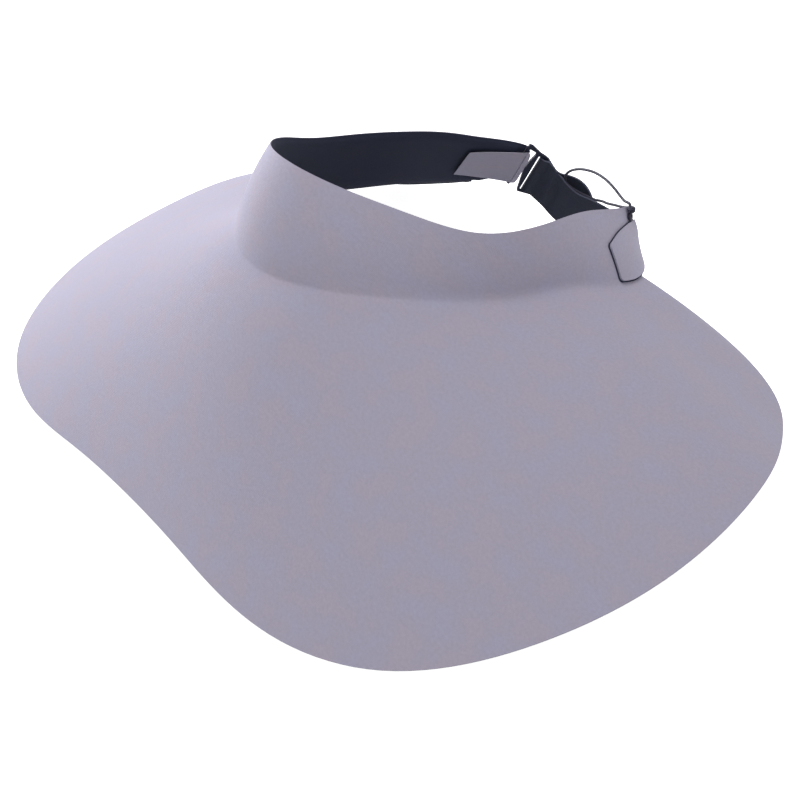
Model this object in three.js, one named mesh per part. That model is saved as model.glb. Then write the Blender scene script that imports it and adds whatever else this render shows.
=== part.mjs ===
// An open-top sun hat: a wide moulded brim with a standing collar, closed at the back by a strap.
// Lengths are in millimetres, angles in degrees. The head's axis is x = 0, y = 0, the hat's front looks
// along -Y, the wearer's left is +X, and the hat rests on the plane z = 0. A head angle is counted from
// the front towards the wearer's left, so the wearer's right side has negative angles.
import * as THREE from 'three';

// The outer face of the collar: a row for each head angle, the same on the left and the right.
// columns: angle, top edge's radius and height, foot's radius and height
const COLLAR = [
  [0, 92, 141, 120.5, 95.8],
  [20, 90, 136, 115.9, 94.7],
  [40, 85, 123, 104.5, 87.6],
  [60, 80, 107, 90.4, 74.9],
  [80, 73, 97, 80.2, 63.9],
  [100, 68, 90, 80.1, 54.7],
  [120, 70, 82, 90, 43],
  [135, 78, 72, 88, 39],
  [150, 88, 61, 82, 36],
];

// The brim's rim: a row for each head angle. The last row is where the brim runs out at the foot.
// columns: angle, radius, height
const BRIM_END = 126;
const RIM = [
  [0, 214, 12],
  [15, 222, 9],
  [30, 244, 2],
  [45, 261, 2],
  [60, 256, 8],
  [75, 239, 13],
  [90, 216, 15],
  [105, 185, 3],
  [118, 146, 12],
];

// The bend from the collar into the brim, and how far the collar and the brim bow out, as shares of
// their lengths. The collar's bow runs out with the brim.
const BEND_UP = 6;
const BEND_OUT = 7;
const BEND_SHARE = 0.45;
const COLLAR_BOW = 0.045;
const BRIM_BOW = 0.035;

// The laminate: an outer foam face and an inner lining with a bonding gap between them.
const FACE_THICKNESS = 1.2;
const GAP = 0.3;
const LINING_THICKNESS = 1;
const LINING_START = FACE_THICKNESS + GAP;
const LINING_END = LINING_START + LINING_THICKNESS;
const TOP_BAND = 1.5;
const RIM_BAND = 4;
const RIM_BAND_SHARE = 0.1;

// The arms past the brim: head angles of the end's top and foot corners. The right arm narrows towards
// its end: rise and cut say how far its corners lie above those points, as shares of the end's length.
const RIGHT = -1;
const LEFT = 1;
const RIGHT_ARM_END = { top: 148, foot: 137.6, rise: 0.05, cut: 0.14 };
const LEFT_ARM_END = { top: 144, foot: 148, rise: 0, cut: 0 };
const ARM_TAPER = { from: 0.1, to: 0.65 };

// The right arm's end turns round the buckle's first bar and lies flat inside the arm as a tongue.
// top and foot are millimetres down from the arm's top corner.
const TONGUE = { top: 0.4, foot: 23.4, turnRadius: 2.75, easing: 0.25 };
const TONGUE_END = { topAngle: 127, footAngle: 119.5, top: 0.27, foot: 0.78, depth: 4.3 };

// The buckle: a flat plate of three bars. The slot beside the first bar is open at its lower end.
// columns: millimetres along the strap, millimetres down from the arm's top corner
const BUCKLE_THICKNESS = 1.5;
const BUCKLE_OUTLINE = [
  [-0.8, -4],
  [1.4, -4],
  [8.2, -0.4],
  [12.3, 0.9],
  [12.3, 28.5],
  [6.9, 28.5],
  [6.4, 26.5],
  [4.9, 19.3],
  [3.6, 12],
  [4.4, 6.3],
  [5.5, 1.2],
  [4.6, -0.7],
  [0.8, -2.6],
  [0.8, 25.2],
  [-0.8, 25.2],
];
const BUCKLE_SLOT = [
  [7.5, 1.5],
  [7.7, 27.3],
  [10.7, 27.3],
  [10.7, 2],
];
const LAST_BAR = 11.5;

// The strap: webbing from inside the left arm, round the back, through the buckle and back outside.
const STRAP = {
  thickness: 1.2, width: 24.6, middle: 14.6, turnRadius: 2.75, lead: 2.5, lean: 0.9, depth: 5,
  rounding: 17, tipWidth: 0.25,
};
// columns: angle, shares of the way down the arm of the top edge and the bottom edge
const STRAP_IN_ARM = [
  [122, 0.16, 0.78],
  [133, 0.14, 0.8],
  [141, 0.12, 0.86],
];
// columns: top edge's angle, radius and height, bottom edge's angle, radius and height
const STRAP_AROUND = [
  [153, 82, 50, 150.5, 79, 26],
  [164, 86.5, 40.5, 162, 84, 16],
  [176, 88.5, 35.5, 175, 85.5, 11],
  [187.6, 89, 35.5, 188, 86, 11],
  [194.8, 89, 36.8, 198, 86, 13.5],
  [198.8, 89, 41, 204.3, 86, 19],
  [202.1, 89, 47.5, 209, 86, 26.8],
];
const STRAP_FREE_END = [
  [203, 92.9, 45.6, 209, 90.4, 26],
  [199.3, 95.4, 43, 204.5, 93, 20.5],
  [193.8, 96.2, 41.2, 197.3, 94, 17],
  [189.8, 96.2, 40, 191.8, 94, 15],
];

// The tab on the left arm's outer face.
// columns: top edge's angle and share down the arm, bottom edge's angle and share
const TAB_GAP = 1;
const TAB = [
  [118.6, 0.45, 114.8, 0.91],
  [128.7, 0.33, 120.3, 0.95],
  [134.3, 0.29, 127, 0.96],
  [142.5, 0.27, 145, 0.96],
];

// What the loop cord hangs on, and the cord's route from the knot's one side round to its other side.
const EYELET = { angle: 138.2, radius: 1.5, wire: 1.2, above: 0.6, clear: 0.45, sides: 6, segments: 14 };
const KNOT = { radius: 1.9, around: 10, down: 8 };
const CORD = { diameter: 1.5, sides: 8, steps: 70 };
// columns: x, y, z
const CORD_ROUTE = [
  [50.5, 66.2, 68],
  [48, 66.9, 67.5],
  [43.8, 68.2, 66.2],
  [39.2, 69.7, 66],
  [30.3, 72.4, 66.7],
  [19.6, 75.3, 66.5],
  [6.7, 78.3, 64.3],
  [-7.5, 81, 59.7],
  [-19, 83.6, 54],
  [-27.3, 86, 48.6],
  [-30.9, 86.4, 45.2],
  [-32, 86.3, 42.2],
  [-31.4, 86.5, 39.6],
  [-28.6, 87.5, 37.4],
  [-24, 89, 35.6],
  [-18.5, 90.2, 34.7],
  [-12.5, 90.7, 34.9],
  [-5.5, 89.8, 37.2],
  [3, 87.2, 40.3],
  [14.4, 83.3, 45.5],
  [22, 80.7, 48.9],
  [30, 77.7, 52.8],
  [37, 75.2, 56.5],
  [43, 73.2, 60],
  [49.5, 69.6, 63.2],
];

// How finely the faces are laid out.
const BRIM_STATIONS = 56;
const CROWDING = 0.3;
const RUN_OUT = 2;
const ARM_STATIONS = 7;
const TURN_SHARES = [0.25, 0.5, 0.75, 1];
const TONGUE_STATIONS = [0.06, 0.14, 0.25, 0.45, 0.65, 0.85, 1];
const STRAP_STATIONS = { around: 30, free: 9, rows: 2 };
const TAB_STATIONS = { along: 8, across: 6 };
const STEEPEST_SLANT = 0.8;

const COLORS = {
  lavender: 0x9f99aa,
  black: 0x2a2e37,
};

const cloth = (name, color) => new THREE.MeshStandardMaterial({ name, color, roughness: 0.9, metalness: 0 });

const radians = THREE.MathUtils.degToRad;
const { lerp } = THREE.MathUtils;

// A smooth curve through one column of a table, level at the front and free at its last row.
function smoothColumn(rows, column) {
  const x = rows.map((row) => row[0]);
  const y = rows.map((row) => row[column]);
  const last = x.length - 1;
  const bend = new Array(last + 1).fill(0);
  const factor = new Array(last + 1).fill(0);
  const first = x[1] - x[0];
  factor[0] = -0.5;
  bend[0] = (3 / first) * ((y[1] - y[0]) / first);
  for (let i = 1; i < last; i += 1) {
    const share = (x[i] - x[i - 1]) / (x[i + 1] - x[i - 1]);
    const pivot = share * factor[i - 1] + 2;
    const slopes = (y[i + 1] - y[i]) / (x[i + 1] - x[i]) - (y[i] - y[i - 1]) / (x[i] - x[i - 1]);
    factor[i] = (share - 1) / pivot;
    bend[i] = ((6 * slopes) / (x[i + 1] - x[i - 1]) - share * bend[i - 1]) / pivot;
  }
  bend[last] = 0;
  for (let i = last - 1; i >= 0; i -= 1) bend[i] += factor[i] * bend[i + 1];
  return (angle) => {
    const at = Math.min(Math.abs(angle), x[last]);
    let i = 0;
    while (i < last - 1 && at > x[i + 1]) i += 1;
    const step = x[i + 1] - x[i];
    const a = (x[i + 1] - at) / step;
    const b = 1 - a;
    const curve = ((a ** 3 - a) * bend[i] + (b ** 3 - b) * bend[i + 1]) * (step * step) / 6;
    return a * y[i] + b * y[i + 1] + curve;
  };
}

const topRadius = smoothColumn(COLLAR, 1);
const topHeight = smoothColumn(COLLAR, 2);
const footRadius = smoothColumn(COLLAR, 3);
const footHeight = smoothColumn(COLLAR, 4);
const rimRows = [...RIM, [BRIM_END, footRadius(BRIM_END), footHeight(BRIM_END)]];
const rimRadius = smoothColumn(rimRows, 1);
const rimHeight = smoothColumn(rimRows, 2);

// A point of the section at one head angle, as (radius, height).
const collarTop = (angle) => new THREE.Vector2(topRadius(angle), topHeight(angle));
const collarFoot = (angle) => new THREE.Vector2(footRadius(angle), footHeight(angle));
const rim = (angle) => new THREE.Vector2(rimRadius(angle), rimHeight(angle));

// A section's point placed in space.
function place(angle, point) {
  const turn = radians(angle);
  return new THREE.Vector3(point.x * Math.sin(turn), -point.x * Math.cos(turn), point.y);
}

// Bows points out from the straight line between two ends, by a share of its length at its middle.
function bow(points, from, to, share) {
  const length = from.distanceTo(to);
  const along = to.clone().sub(from).divideScalar(length);
  const out = new THREE.Vector2(-along.y, along.x);
  for (const point of points) {
    const at = THREE.MathUtils.clamp(point.clone().sub(from).dot(along) / length, 0, 1);
    point.addScaledVector(out, 4 * share * length * at * (1 - at));
  }
}

// The rows of one section from the collar's top edge over the bend to the rim, as (radius, height).
const COLLAR_SHARES = [0, 0.3, 0.6, 1];
const BEND_STEPS = 4;
const BRIM_SHARES = [0.13, 0.29, 0.46, 0.64, 0.82];

function section(angle) {
  const top = collarTop(angle);
  const foot = collarFoot(angle);
  const edge = Math.abs(angle) < BRIM_END ? rim(angle) : foot.clone();
  const rise = top.distanceTo(foot);
  const reach = edge.distanceTo(foot);
  const bendStart = foot.clone().lerp(top, Math.min(BEND_UP / rise, BEND_SHARE));
  const bendShare = reach > 0 ? Math.min(BEND_OUT / reach, BEND_SHARE) : 0;
  const bendEnd = foot.clone().lerp(edge, bendShare);
  const bandShare = TOP_BAND / top.distanceTo(bendStart);
  const points = [top.clone(), top.clone().lerp(bendStart, bandShare)];
  for (const share of COLLAR_SHARES.slice(1)) points.push(top.clone().lerp(bendStart, share));
  const brimStart = points.length;
  const bend = new THREE.QuadraticBezierCurve(bendStart, foot, bendEnd);
  for (let i = 1; i <= BEND_STEPS; i += 1) points.push(bend.getPoint(i / BEND_STEPS));
  const collarRows = points.length;
  if (reach > 0) {
    const outer = bendEnd.distanceTo(edge);
    for (const share of BRIM_SHARES) points.push(bendEnd.clone().lerp(edge, share));
    points.push(bendEnd.clone().lerp(edge, 1 - Math.min(RIM_BAND / outer, RIM_BAND_SHARE)));
    points.push(edge.clone());
    bow(points.slice(brimStart), foot, edge, BRIM_BOW);
  }
  const fade = 1 - Math.min(Math.abs(angle) / BRIM_END, 1) ** 2;
  bow(points.slice(0, collarRows), top, foot, COLLAR_BOW * fade);
  return { points, collarRows };
}

// An open surface of welded points and the four-sided cells between them.
class Surface {
  constructor() {
    this.points = [];
    this.cells = [];
  }

  // Adds a grid: a list of points for each station. A point that weld knows is shared.
  addGrid(part, columns, weld = () => undefined) {
    const index = columns.map((column, i) => column.map((point, j) => {
      const known = weld(i, j);
      if (known !== undefined) return known;
      this.points.push(point);
      return this.points.length - 1;
    }));
    for (let i = 0; i + 1 < index.length; i += 1) {
      for (let j = 0; j + 1 < index[i].length; j += 1) {
        const corners = [index[i][j], index[i][j + 1], index[i + 1][j + 1], index[i + 1][j]];
        this.cells.push({ corners, part, station: i, row: j });
      }
    }
    return index;
  }

  // The way to move each point so that every face round it moves by at least one unit.
  offsets() {
    const faces = this.cells.map(({ corners }) => {
      const [a, b, c, d] = corners.map((k) => this.points[k]);
      return new THREE.Vector3().subVectors(c, a).cross(new THREE.Vector3().subVectors(d, b));
    });
    const sums = this.points.map(() => new THREE.Vector3());
    this.cells.forEach(({ corners }, i) => {
      for (const k of new Set(corners)) sums[k].add(faces[i]);
    });
    for (const sum of sums) sum.normalize();
    const slant = this.points.map(() => 1);
    this.cells.forEach(({ corners }, i) => {
      const face = faces[i].clone().normalize();
      for (const k of corners) slant[k] = Math.min(slant[k], face.dot(sums[k]));
    });
    return sums.map((sum, k) => sum.divideScalar(Math.max(slant[k], STEEPEST_SLANT)));
  }
}

// A closed sheet between two depths below a surface, over the cells that are kept.
function sheet(surface, near, far, keep = () => true) {
  const offsets = surface.offsets();
  const used = new Map();
  const positions = [];
  const triangles = [];
  const edges = new Map();
  const outer = (k) => {
    if (!used.has(k)) {
      used.set(k, positions.length / 3);
      for (const depth of [near, far]) {
        positions.push(...surface.points[k].clone().addScaledVector(offsets[k], -depth).toArray());
      }
    }
    return used.get(k);
  };
  const inner = (k) => outer(k) + 1;
  const face = (a, b, c) => {
    if (a === b || b === c || c === a) return;
    triangles.push(outer(a), outer(b), outer(c), inner(c), inner(b), inner(a));
    for (const [p, q] of [[a, b], [b, c], [c, a]]) {
      if (!edges.delete(`${q},${p}`)) edges.set(`${p},${q}`, [p, q]);
    }
  };
  for (const { corners: [a, b, c, d] } of surface.cells.filter(keep)) {
    const points = surface.points;
    if (points[a].distanceTo(points[c]) <= points[b].distanceTo(points[d])) {
      face(a, b, c);
      face(a, c, d);
    } else {
      face(a, b, d);
      face(b, c, d);
    }
  }
  for (const [a, b] of edges.values()) {
    triangles.push(outer(b), outer(a), inner(a), outer(b), inner(a), inner(b));
  }
  const geometry = new THREE.BufferGeometry();
  geometry.setAttribute('position', new THREE.Float32BufferAttribute(positions, 3));
  geometry.setIndex(triangles);
  geometry.computeVertexNormals();
  return geometry;
}

// Collar and brim: stations stand closer together where the brim runs out.
function brimAngles() {
  return Array.from({ length: BRIM_STATIONS + 1 }, (_, i) => {
    const u = (2 * i) / BRIM_STATIONS - 1;
    return BRIM_END * ((1 + CROWDING) * u - CROWDING * u ** 3);
  });
}

// An arm's rows, as shares of the way down from the collar's top edge to its foot.
function armShares() {
  const { points, collarRows } = section(BRIM_END);
  const rise = points[0].distanceTo(points[collarRows - 1]);
  return points.slice(0, collarRows).map((point) => point.distanceTo(points[0]) / rise);
}

// A point of an arm's outer face. Its end is straight, so that a bar can lie in it.
function armFace(side, end, down, share) {
  const angle = lerp(BRIM_END, lerp(end.top, end.foot, down), share);
  const onFace = place(side * angle, collarTop(angle).lerp(collarFoot(angle), down));
  const top = place(side * end.top, collarTop(end.top));
  const foot = place(side * end.foot, collarFoot(end.foot));
  return onFace.lerp(top.lerp(foot, down), Math.max(share, 0) ** 2);
}

// A point of an arm, where down runs from its top edge to its lower edge.
function armPoint(side, end, down, share) {
  const narrowed = THREE.MathUtils.smoothstep(share, ARM_TAPER.from, ARM_TAPER.to);
  return armFace(side, end, lerp(-end.rise * narrowed, 1 - end.cut * narrowed, down), share);
}

// A point of the outer face at a head angle; past the brim it is on the arm.
function facePoint(side, end, angle, down) {
  if (angle >= BRIM_END) {
    const share = (angle - BRIM_END) / (lerp(end.top, end.foot, down) - BRIM_END);
    return armFace(side, end, down, share);
  }
  const { points } = section(angle);
  let left = down * collarTop(angle).distanceTo(collarFoot(angle));
  let i = 0;
  while (left > points[i].distanceTo(points[i + 1])) {
    left -= points[i].distanceTo(points[i + 1]);
    i += 1;
  }
  const step = points[i].distanceTo(points[i + 1]);
  return place(side * angle, points[i].clone().lerp(points[i + 1], left / step));
}

// A point at a depth inside the outer face; a negative depth lies outside it.
function insideFace(side, end, angle, down, depth) {
  const step = 0.5;
  const share = 0.02;
  const at = facePoint(side, end, angle, down);
  const along = facePoint(side, end, angle + step, down).sub(facePoint(side, end, angle - step, down));
  const below = facePoint(side, end, angle, down + share).sub(facePoint(side, end, angle, down - share));
  const inward = along.cross(below).multiplyScalar(side).normalize();
  return at.addScaledVector(inward, depth);
}

// The right arm's end as a frame: down from its top corner, along past the end and inward to the head.
function tongueFrame() {
  const top = armFace(RIGHT, RIGHT_ARM_END, 0, 1);
  const foot = armFace(RIGHT, RIGHT_ARM_END, 1, 1);
  const up = top.clone().sub(foot);
  const length = up.length();
  up.normalize();
  const middle = 0.5;
  const beforeEnd = 0.75;
  const before = armFace(RIGHT, RIGHT_ARM_END, middle, beforeEnd);
  const along = armFace(RIGHT, RIGHT_ARM_END, middle, 1).sub(before);
  along.addScaledVector(up, -along.dot(up)).normalize();
  const inward = along.clone().cross(up);
  const at = (down, x, y) => top.clone().addScaledVector(up, -down)
    .addScaledVector(along, x).addScaledVector(inward, y);
  return { up, along, inward, length, at };
}

// The tongue from the arm's end round the bar and back inside the arm.
function tongueColumns(frame, shares) {
  const { turnRadius: radius } = TONGUE;
  const onTongue = (down) => lerp(TONGUE.top, TONGUE.foot, down);
  const turn = TURN_SHARES.map((part) => shares.map((down) => {
    const angle = part * Math.PI;
    return frame.at(onTongue(down), radius * Math.sin(angle), radius * (1 - Math.cos(angle)));
  }));
  const flat = TONGUE_STATIONS.map((share) => shares.map((down) => {
    const endDown = lerp(TONGUE_END.top, TONGUE_END.foot, down);
    const at = lerp(onTongue(down) / frame.length, endDown, share);
    const start = lerp(RIGHT_ARM_END.top, RIGHT_ARM_END.foot, at);
    const end = lerp(TONGUE_END.topAngle, TONGUE_END.footAngle, down);
    const angle = lerp(start, end, share);
    const eased = THREE.MathUtils.smoothstep(share, 0, TONGUE.easing);
    return insideFace(RIGHT, RIGHT_ARM_END, angle, at, lerp(2 * radius, TONGUE_END.depth, eased));
  }));
  return [...turn, ...flat];
}

function hatSurface(frame) {
  const surface = new Surface();
  const { points, collarRows } = section(0);
  const shares = armShares();
  const arms = [LEFT_ARM_END, RIGHT_ARM_END].map((end, k) => {
    const side = k === 0 ? LEFT : RIGHT;
    const steps = Array.from({ length: ARM_STATIONS + 1 }, (_, i) => i / ARM_STATIONS);
    return steps.map((share) => shares.map((down) => armPoint(side, end, down, share)));
  });
  const columns = brimAngles().map((angle) => section(angle).points.map((point) => place(angle, point)));
  const lastRow = collarRows - 1;
  const runOut = (arm) => points.map((_, j) => arm[0][Math.min(j, lastRow)]);
  columns[0] = runOut(arms[1]);
  columns[BRIM_STATIONS] = runOut(arms[0]);
  const joints = new Map();
  surface.addGrid('brim', columns, (i, j) => {
    if (i !== 0 && i !== BRIM_STATIONS) return undefined;
    const key = `${i},${Math.min(j, lastRow)}`;
    if (joints.has(key)) return joints.get(key);
    joints.set(key, surface.points.length);
    return undefined;
  });
  surface.addGrid('leftArm', arms[0], (i, j) => (i === 0 ? joints.get(`${BRIM_STATIONS},${j}`) : undefined));
  const right = [...arms[1], ...tongueColumns(frame, shares)].reverse();
  surface.addGrid('rightArm', right, (i, j) => (i === right.length - 1 ? joints.get(`0,${j}`) : undefined));
  return surface;
}

// The lining keeps clear of the cut edges, of the brim's run-out and of the bar in the right arm's end.
function linedCell({ part, station, row }) {
  const rows = section(0).points.length;
  if (row === 0) return false;
  if (part === 'brim') {
    const { collarRows } = section(0);
    const runOut = row >= collarRows - 1 && (station < RUN_OUT || station >= BRIM_STATIONS - RUN_OUT);
    return row < rows - 2 && !runOut;
  }
  if (part === 'leftArm') return station < ARM_STATIONS - 1;
  return station > TONGUE_STATIONS.length + TURN_SHARES.length;
}

const across = (from, to, rows) => Array.from({ length: rows + 1 }, (_, j) => from.clone().lerp(to, j / rows));

// A smooth band between a top edge and a bottom edge, as columns of points.
function bandColumns(tops, bottoms, stations, rows) {
  const top = new THREE.CatmullRomCurve3(tops, false, 'centripetal');
  const bottom = new THREE.CatmullRomCurve3(bottoms, false, 'centripetal');
  return Array.from({ length: stations + 1 }, (_, i) => (
    across(top.getPoint(i / stations), bottom.getPoint(i / stations), rows)
  ));
}

function strapColumns(frame) {
  const { turnRadius: radius } = STRAP;
  const depth = TONGUE.turnRadius;
  const edges = [-1, 1].map((side) => (x, y) => frame.at(STRAP.middle + side * (STRAP.width / 2), x, y));
  const inner = (k) => edges[k](LAST_BAR + STRAP.lead, depth + radius);
  const outer = (k) => edges[k](LAST_BAR + STRAP.lead, depth - radius + STRAP.lean);
  const inArm = (k) => STRAP_IN_ARM.map(
    (row) => insideFace(LEFT, LEFT_ARM_END, row[0], row[1 + k], STRAP.depth),
  );
  const fromTable = (table, k) => table.map((row) => {
    const [angle, radial, height] = row.slice(3 * k);
    return place(angle, new THREE.Vector2(radial, height));
  });
  const rows = STRAP_STATIONS.rows;
  const around = [0, 1].map((k) => [...inArm(k), ...fromTable(STRAP_AROUND, k), inner(k)]);
  const free = [0, 1].map((k) => [outer(k), ...fromTable(STRAP_FREE_END, k)]);
  const turn = [0, ...TURN_SHARES].map((part) => {
    const angle = part * Math.PI;
    const at = [LAST_BAR - radius * Math.sin(angle), depth + radius * Math.cos(angle)];
    return across(edges[0](...at), edges[1](...at), rows);
  });
  return [
    ...bandColumns(...around, STRAP_STATIONS.around, rows),
    ...turn,
    ...roundedEnd(bandColumns(...free, STRAP_STATIONS.free, rows)),
  ];
}

// Narrows the last columns of a band to a half round.
function roundedEnd(columns) {
  const lastColumn = columns[columns.length - 1];
  const tip = lastColumn[0].clone().lerp(lastColumn[lastColumn.length - 1], 0.5);
  return columns.map((column) => {
    const middle = column[0].clone().lerp(column[column.length - 1], 0.5);
    const short = Math.max(1 - middle.distanceTo(tip) / STRAP.rounding, 0);
    const width = Math.max(Math.sqrt(1 - short * short), STRAP.tipWidth);
    return column.map((point) => middle.clone().lerp(point, width));
  });
}

function tabColumns() {
  const column = (k) => new THREE.SplineCurve(TAB.map((row, i) => new THREE.Vector2(i, row[k])));
  const [topAngle, topShare, footAngle, footShare] = [0, 1, 2, 3].map(column);
  return Array.from({ length: TAB_STATIONS.along + 1 }, (_, i) => {
    const at = i / TAB_STATIONS.along;
    return Array.from({ length: TAB_STATIONS.across + 1 }, (__, j) => {
      const down = j / TAB_STATIONS.across;
      const angle = lerp(topAngle.getPoint(at).y, footAngle.getPoint(at).y, down);
      const share = lerp(topShare.getPoint(at).y, footShare.getPoint(at).y, down);
      return facePoint(LEFT, LEFT_ARM_END, angle, share);
    });
  });
}

// The buckle's plate, with its outline's x along the strap and y up.
function buckleGeometry() {
  const upright = (rows) => rows.map(([x, down]) => new THREE.Vector2(x, -down));
  const outline = new THREE.Shape(upright(BUCKLE_OUTLINE));
  outline.holes.push(new THREE.Path(upright(BUCKLE_SLOT)));
  const plate = new THREE.ExtrudeGeometry(outline, { depth: BUCKLE_THICKNESS, bevelEnabled: false });
  return plate.translate(0, 0, -BUCKLE_THICKNESS / 2);
}

function cordGeometry(points) {
  const route = new THREE.CatmullRomCurve3(points, false, 'centripetal');
  const section2d = new THREE.Shape();
  for (let k = 0; k < CORD.sides; k += 1) {
    const turn = (2 * Math.PI * k) / CORD.sides;
    const at = [CORD.diameter / 2 * Math.cos(turn), CORD.diameter / 2 * Math.sin(turn)];
    if (k === 0) section2d.moveTo(...at);
    else section2d.lineTo(...at);
  }
  section2d.closePath();
  return new THREE.ExtrudeGeometry(section2d, { steps: CORD.steps, extrudePath: route, curveSegments: 1 });
}

const hat = new THREE.Group();

function add(name, geometry, material) {
  const mesh = new THREE.Mesh(geometry, material);
  mesh.name = name;
  hat.add(mesh);
  return mesh;
}

const frame = tongueFrame();
const hatFace = hatSurface(frame);
add('shell', sheet(hatFace, 0, FACE_THICKNESS), cloth('laminate', COLORS.lavender));
add('lining', sheet(hatFace, LINING_START, LINING_END, linedCell), cloth('lining knit', COLORS.black));

const strapFace = new Surface();
strapFace.addGrid('strap', strapColumns(frame));
add('strap', sheet(strapFace, -STRAP.thickness, 0), cloth('webbing', COLORS.black));

const buckle = add('buckle', buckleGeometry(), new THREE.MeshStandardMaterial({
  name: 'moulded plastic', color: COLORS.black, roughness: 0.35, metalness: 0,
}));
const buckleAxes = new THREE.Matrix4().makeBasis(frame.along, frame.up, frame.inward);
buckle.quaternion.setFromRotationMatrix(buckleAxes);
buckle.position.copy(frame.at(0, 0, TONGUE.turnRadius));

const tabFace = new Surface();
tabFace.addGrid('tab', tabColumns());
add('arm_tab', sheet(tabFace, -TAB_GAP - FACE_THICKNESS, -TAB_GAP), cloth('laminate tab', COLORS.lavender));

// The eyelet stands just above the tab's top edge and the knot just above the eyelet.
const tabTop = TAB[TAB.length - 1];
const eyeletReach = EYELET.radius + EYELET.wire / 2;
const armRise = collarTop(EYELET.angle).distanceTo(collarFoot(EYELET.angle));
const eyeletShare = tabTop[1] - (eyeletReach + EYELET.above) / armRise;
const knotShare = eyeletShare - (eyeletReach + GAP + KNOT.radius) / armRise;
const onArm = (share, depth) => insideFace(LEFT, LEFT_ARM_END, EYELET.angle, share, depth);
const eyeletDepth = -EYELET.clear - EYELET.wire / 2;
const eyeletCentre = onArm(eyeletShare, eyeletDepth);
const knotCentre = onArm(knotShare, -GAP - KNOT.radius);

const eyelet = add('cord_eyelet',
  new THREE.TorusGeometry(EYELET.radius, EYELET.wire / 2, EYELET.sides, EYELET.segments),
  cloth('bound thread', COLORS.black));
eyelet.position.copy(eyeletCentre);
eyelet.lookAt(onArm(eyeletShare, 2 * eyeletDepth));

const knot = add('cord_knot', new THREE.SphereGeometry(KNOT.radius, KNOT.around, KNOT.down),
  cloth('knotted cord', COLORS.black));
knot.position.copy(knotCentre);

const leave = (point) => knotCentre.clone().add(
  new THREE.Vector3(...point).sub(knotCentre).setLength(KNOT.radius + GAP),
);
const cordPoints = CORD_ROUTE.map((point) => new THREE.Vector3(...point));
cordPoints.unshift(leave(CORD_ROUTE[0]));
cordPoints.push(leave(CORD_ROUTE[CORD_ROUTE.length - 1]));
add('loop_cord', cordGeometry(cordPoints), cloth('elastic cord', COLORS.black));

// The hat rests on its rim's lowest points.
hat.position.z = -new THREE.Box3().setFromObject(hat).min.z;

export default hat;
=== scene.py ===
"""An open-top sun hat: a moulded brim and collar, a slider strap at the back and an elastic loop.

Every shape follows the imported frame. Lengths are in millimetres until a piece is made, which turns them
to metres. Head angles are in degrees from the front (-Y) towards the wearer's left (+X).
"""

from __future__ import annotations

import logging
import math
from dataclasses import dataclass, field
from enum import Enum
from functools import lru_cache
from typing import Any, Callable, Optional, Sequence, Union

import bpy
import numpy as np
from mathutils import Matrix, Vector
from mathutils.geometry import tessellate_polygon


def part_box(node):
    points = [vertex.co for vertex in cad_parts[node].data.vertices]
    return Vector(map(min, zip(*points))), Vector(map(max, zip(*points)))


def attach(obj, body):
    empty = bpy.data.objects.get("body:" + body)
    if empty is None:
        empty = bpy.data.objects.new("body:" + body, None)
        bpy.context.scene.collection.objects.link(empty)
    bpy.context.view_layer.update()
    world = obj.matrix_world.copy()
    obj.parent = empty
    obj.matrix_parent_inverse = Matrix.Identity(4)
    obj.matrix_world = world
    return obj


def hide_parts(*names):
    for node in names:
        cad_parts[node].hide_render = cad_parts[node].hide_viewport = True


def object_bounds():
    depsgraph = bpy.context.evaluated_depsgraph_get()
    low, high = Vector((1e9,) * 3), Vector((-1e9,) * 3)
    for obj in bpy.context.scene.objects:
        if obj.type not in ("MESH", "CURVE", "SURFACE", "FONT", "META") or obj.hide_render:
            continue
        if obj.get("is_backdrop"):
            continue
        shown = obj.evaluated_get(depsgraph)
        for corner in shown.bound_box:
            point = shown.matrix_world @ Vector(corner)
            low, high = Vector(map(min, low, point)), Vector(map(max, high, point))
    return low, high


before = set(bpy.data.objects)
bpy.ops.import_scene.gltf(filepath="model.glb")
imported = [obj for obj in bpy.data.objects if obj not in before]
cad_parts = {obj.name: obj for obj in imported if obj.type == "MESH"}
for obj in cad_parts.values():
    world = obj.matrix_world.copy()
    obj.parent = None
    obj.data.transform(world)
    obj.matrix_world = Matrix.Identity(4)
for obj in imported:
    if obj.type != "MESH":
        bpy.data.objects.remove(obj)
CAD_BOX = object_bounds()

LOG = logging.getLogger("sun_hat")
MM = 0.001
TINY = 1e-12
BODY = "root"
# The mesh attribute that says where each point lay in the flat cloth, in millimetres
CLOTH = "cloth_mm"
# Edges that turn by more degrees than this are rounded
SHARP = 50.0
# A direction that no tube starts along
ASKEW = (0.31, 0.17, 0.93)
WHITE = (1, 1, 1, 1)

Table = Sequence[Sequence[float]]
Value = Union[float, np.ndarray]
Weld = Callable[[int, int], Optional[int]]
Keep = Callable[[str, int, int], bool]

# The outer face of the collar, the same on the left and the right.
# columns: head angle, top edge's radius and height, foot's radius and height
COLLAR = (
    (0, 92, 141, 120.5, 95.8),
    (20, 90, 136, 115.9, 94.7),
    (40, 85, 123, 104.5, 87.6),
    (60, 80, 107, 90.4, 74.9),
    (80, 73, 97, 80.2, 63.9),
    (100, 68, 90, 80.1, 54.7),
    (120, 70, 82, 90, 43),
    (135, 78, 72, 88, 39),
    (150, 88, 61, 82, 36),
)

# The brim's rim. columns: head angle, radius, height
BRIM_END = 126.0
RIM = (
    (0, 214, 12),
    (15, 222, 9),
    (30, 244, 2),
    (45, 261, 2),
    (60, 256, 8),
    (75, 239, 13),
    (90, 216, 15),
    (105, 185, 3),
    (118, 146, 12),
)

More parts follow.
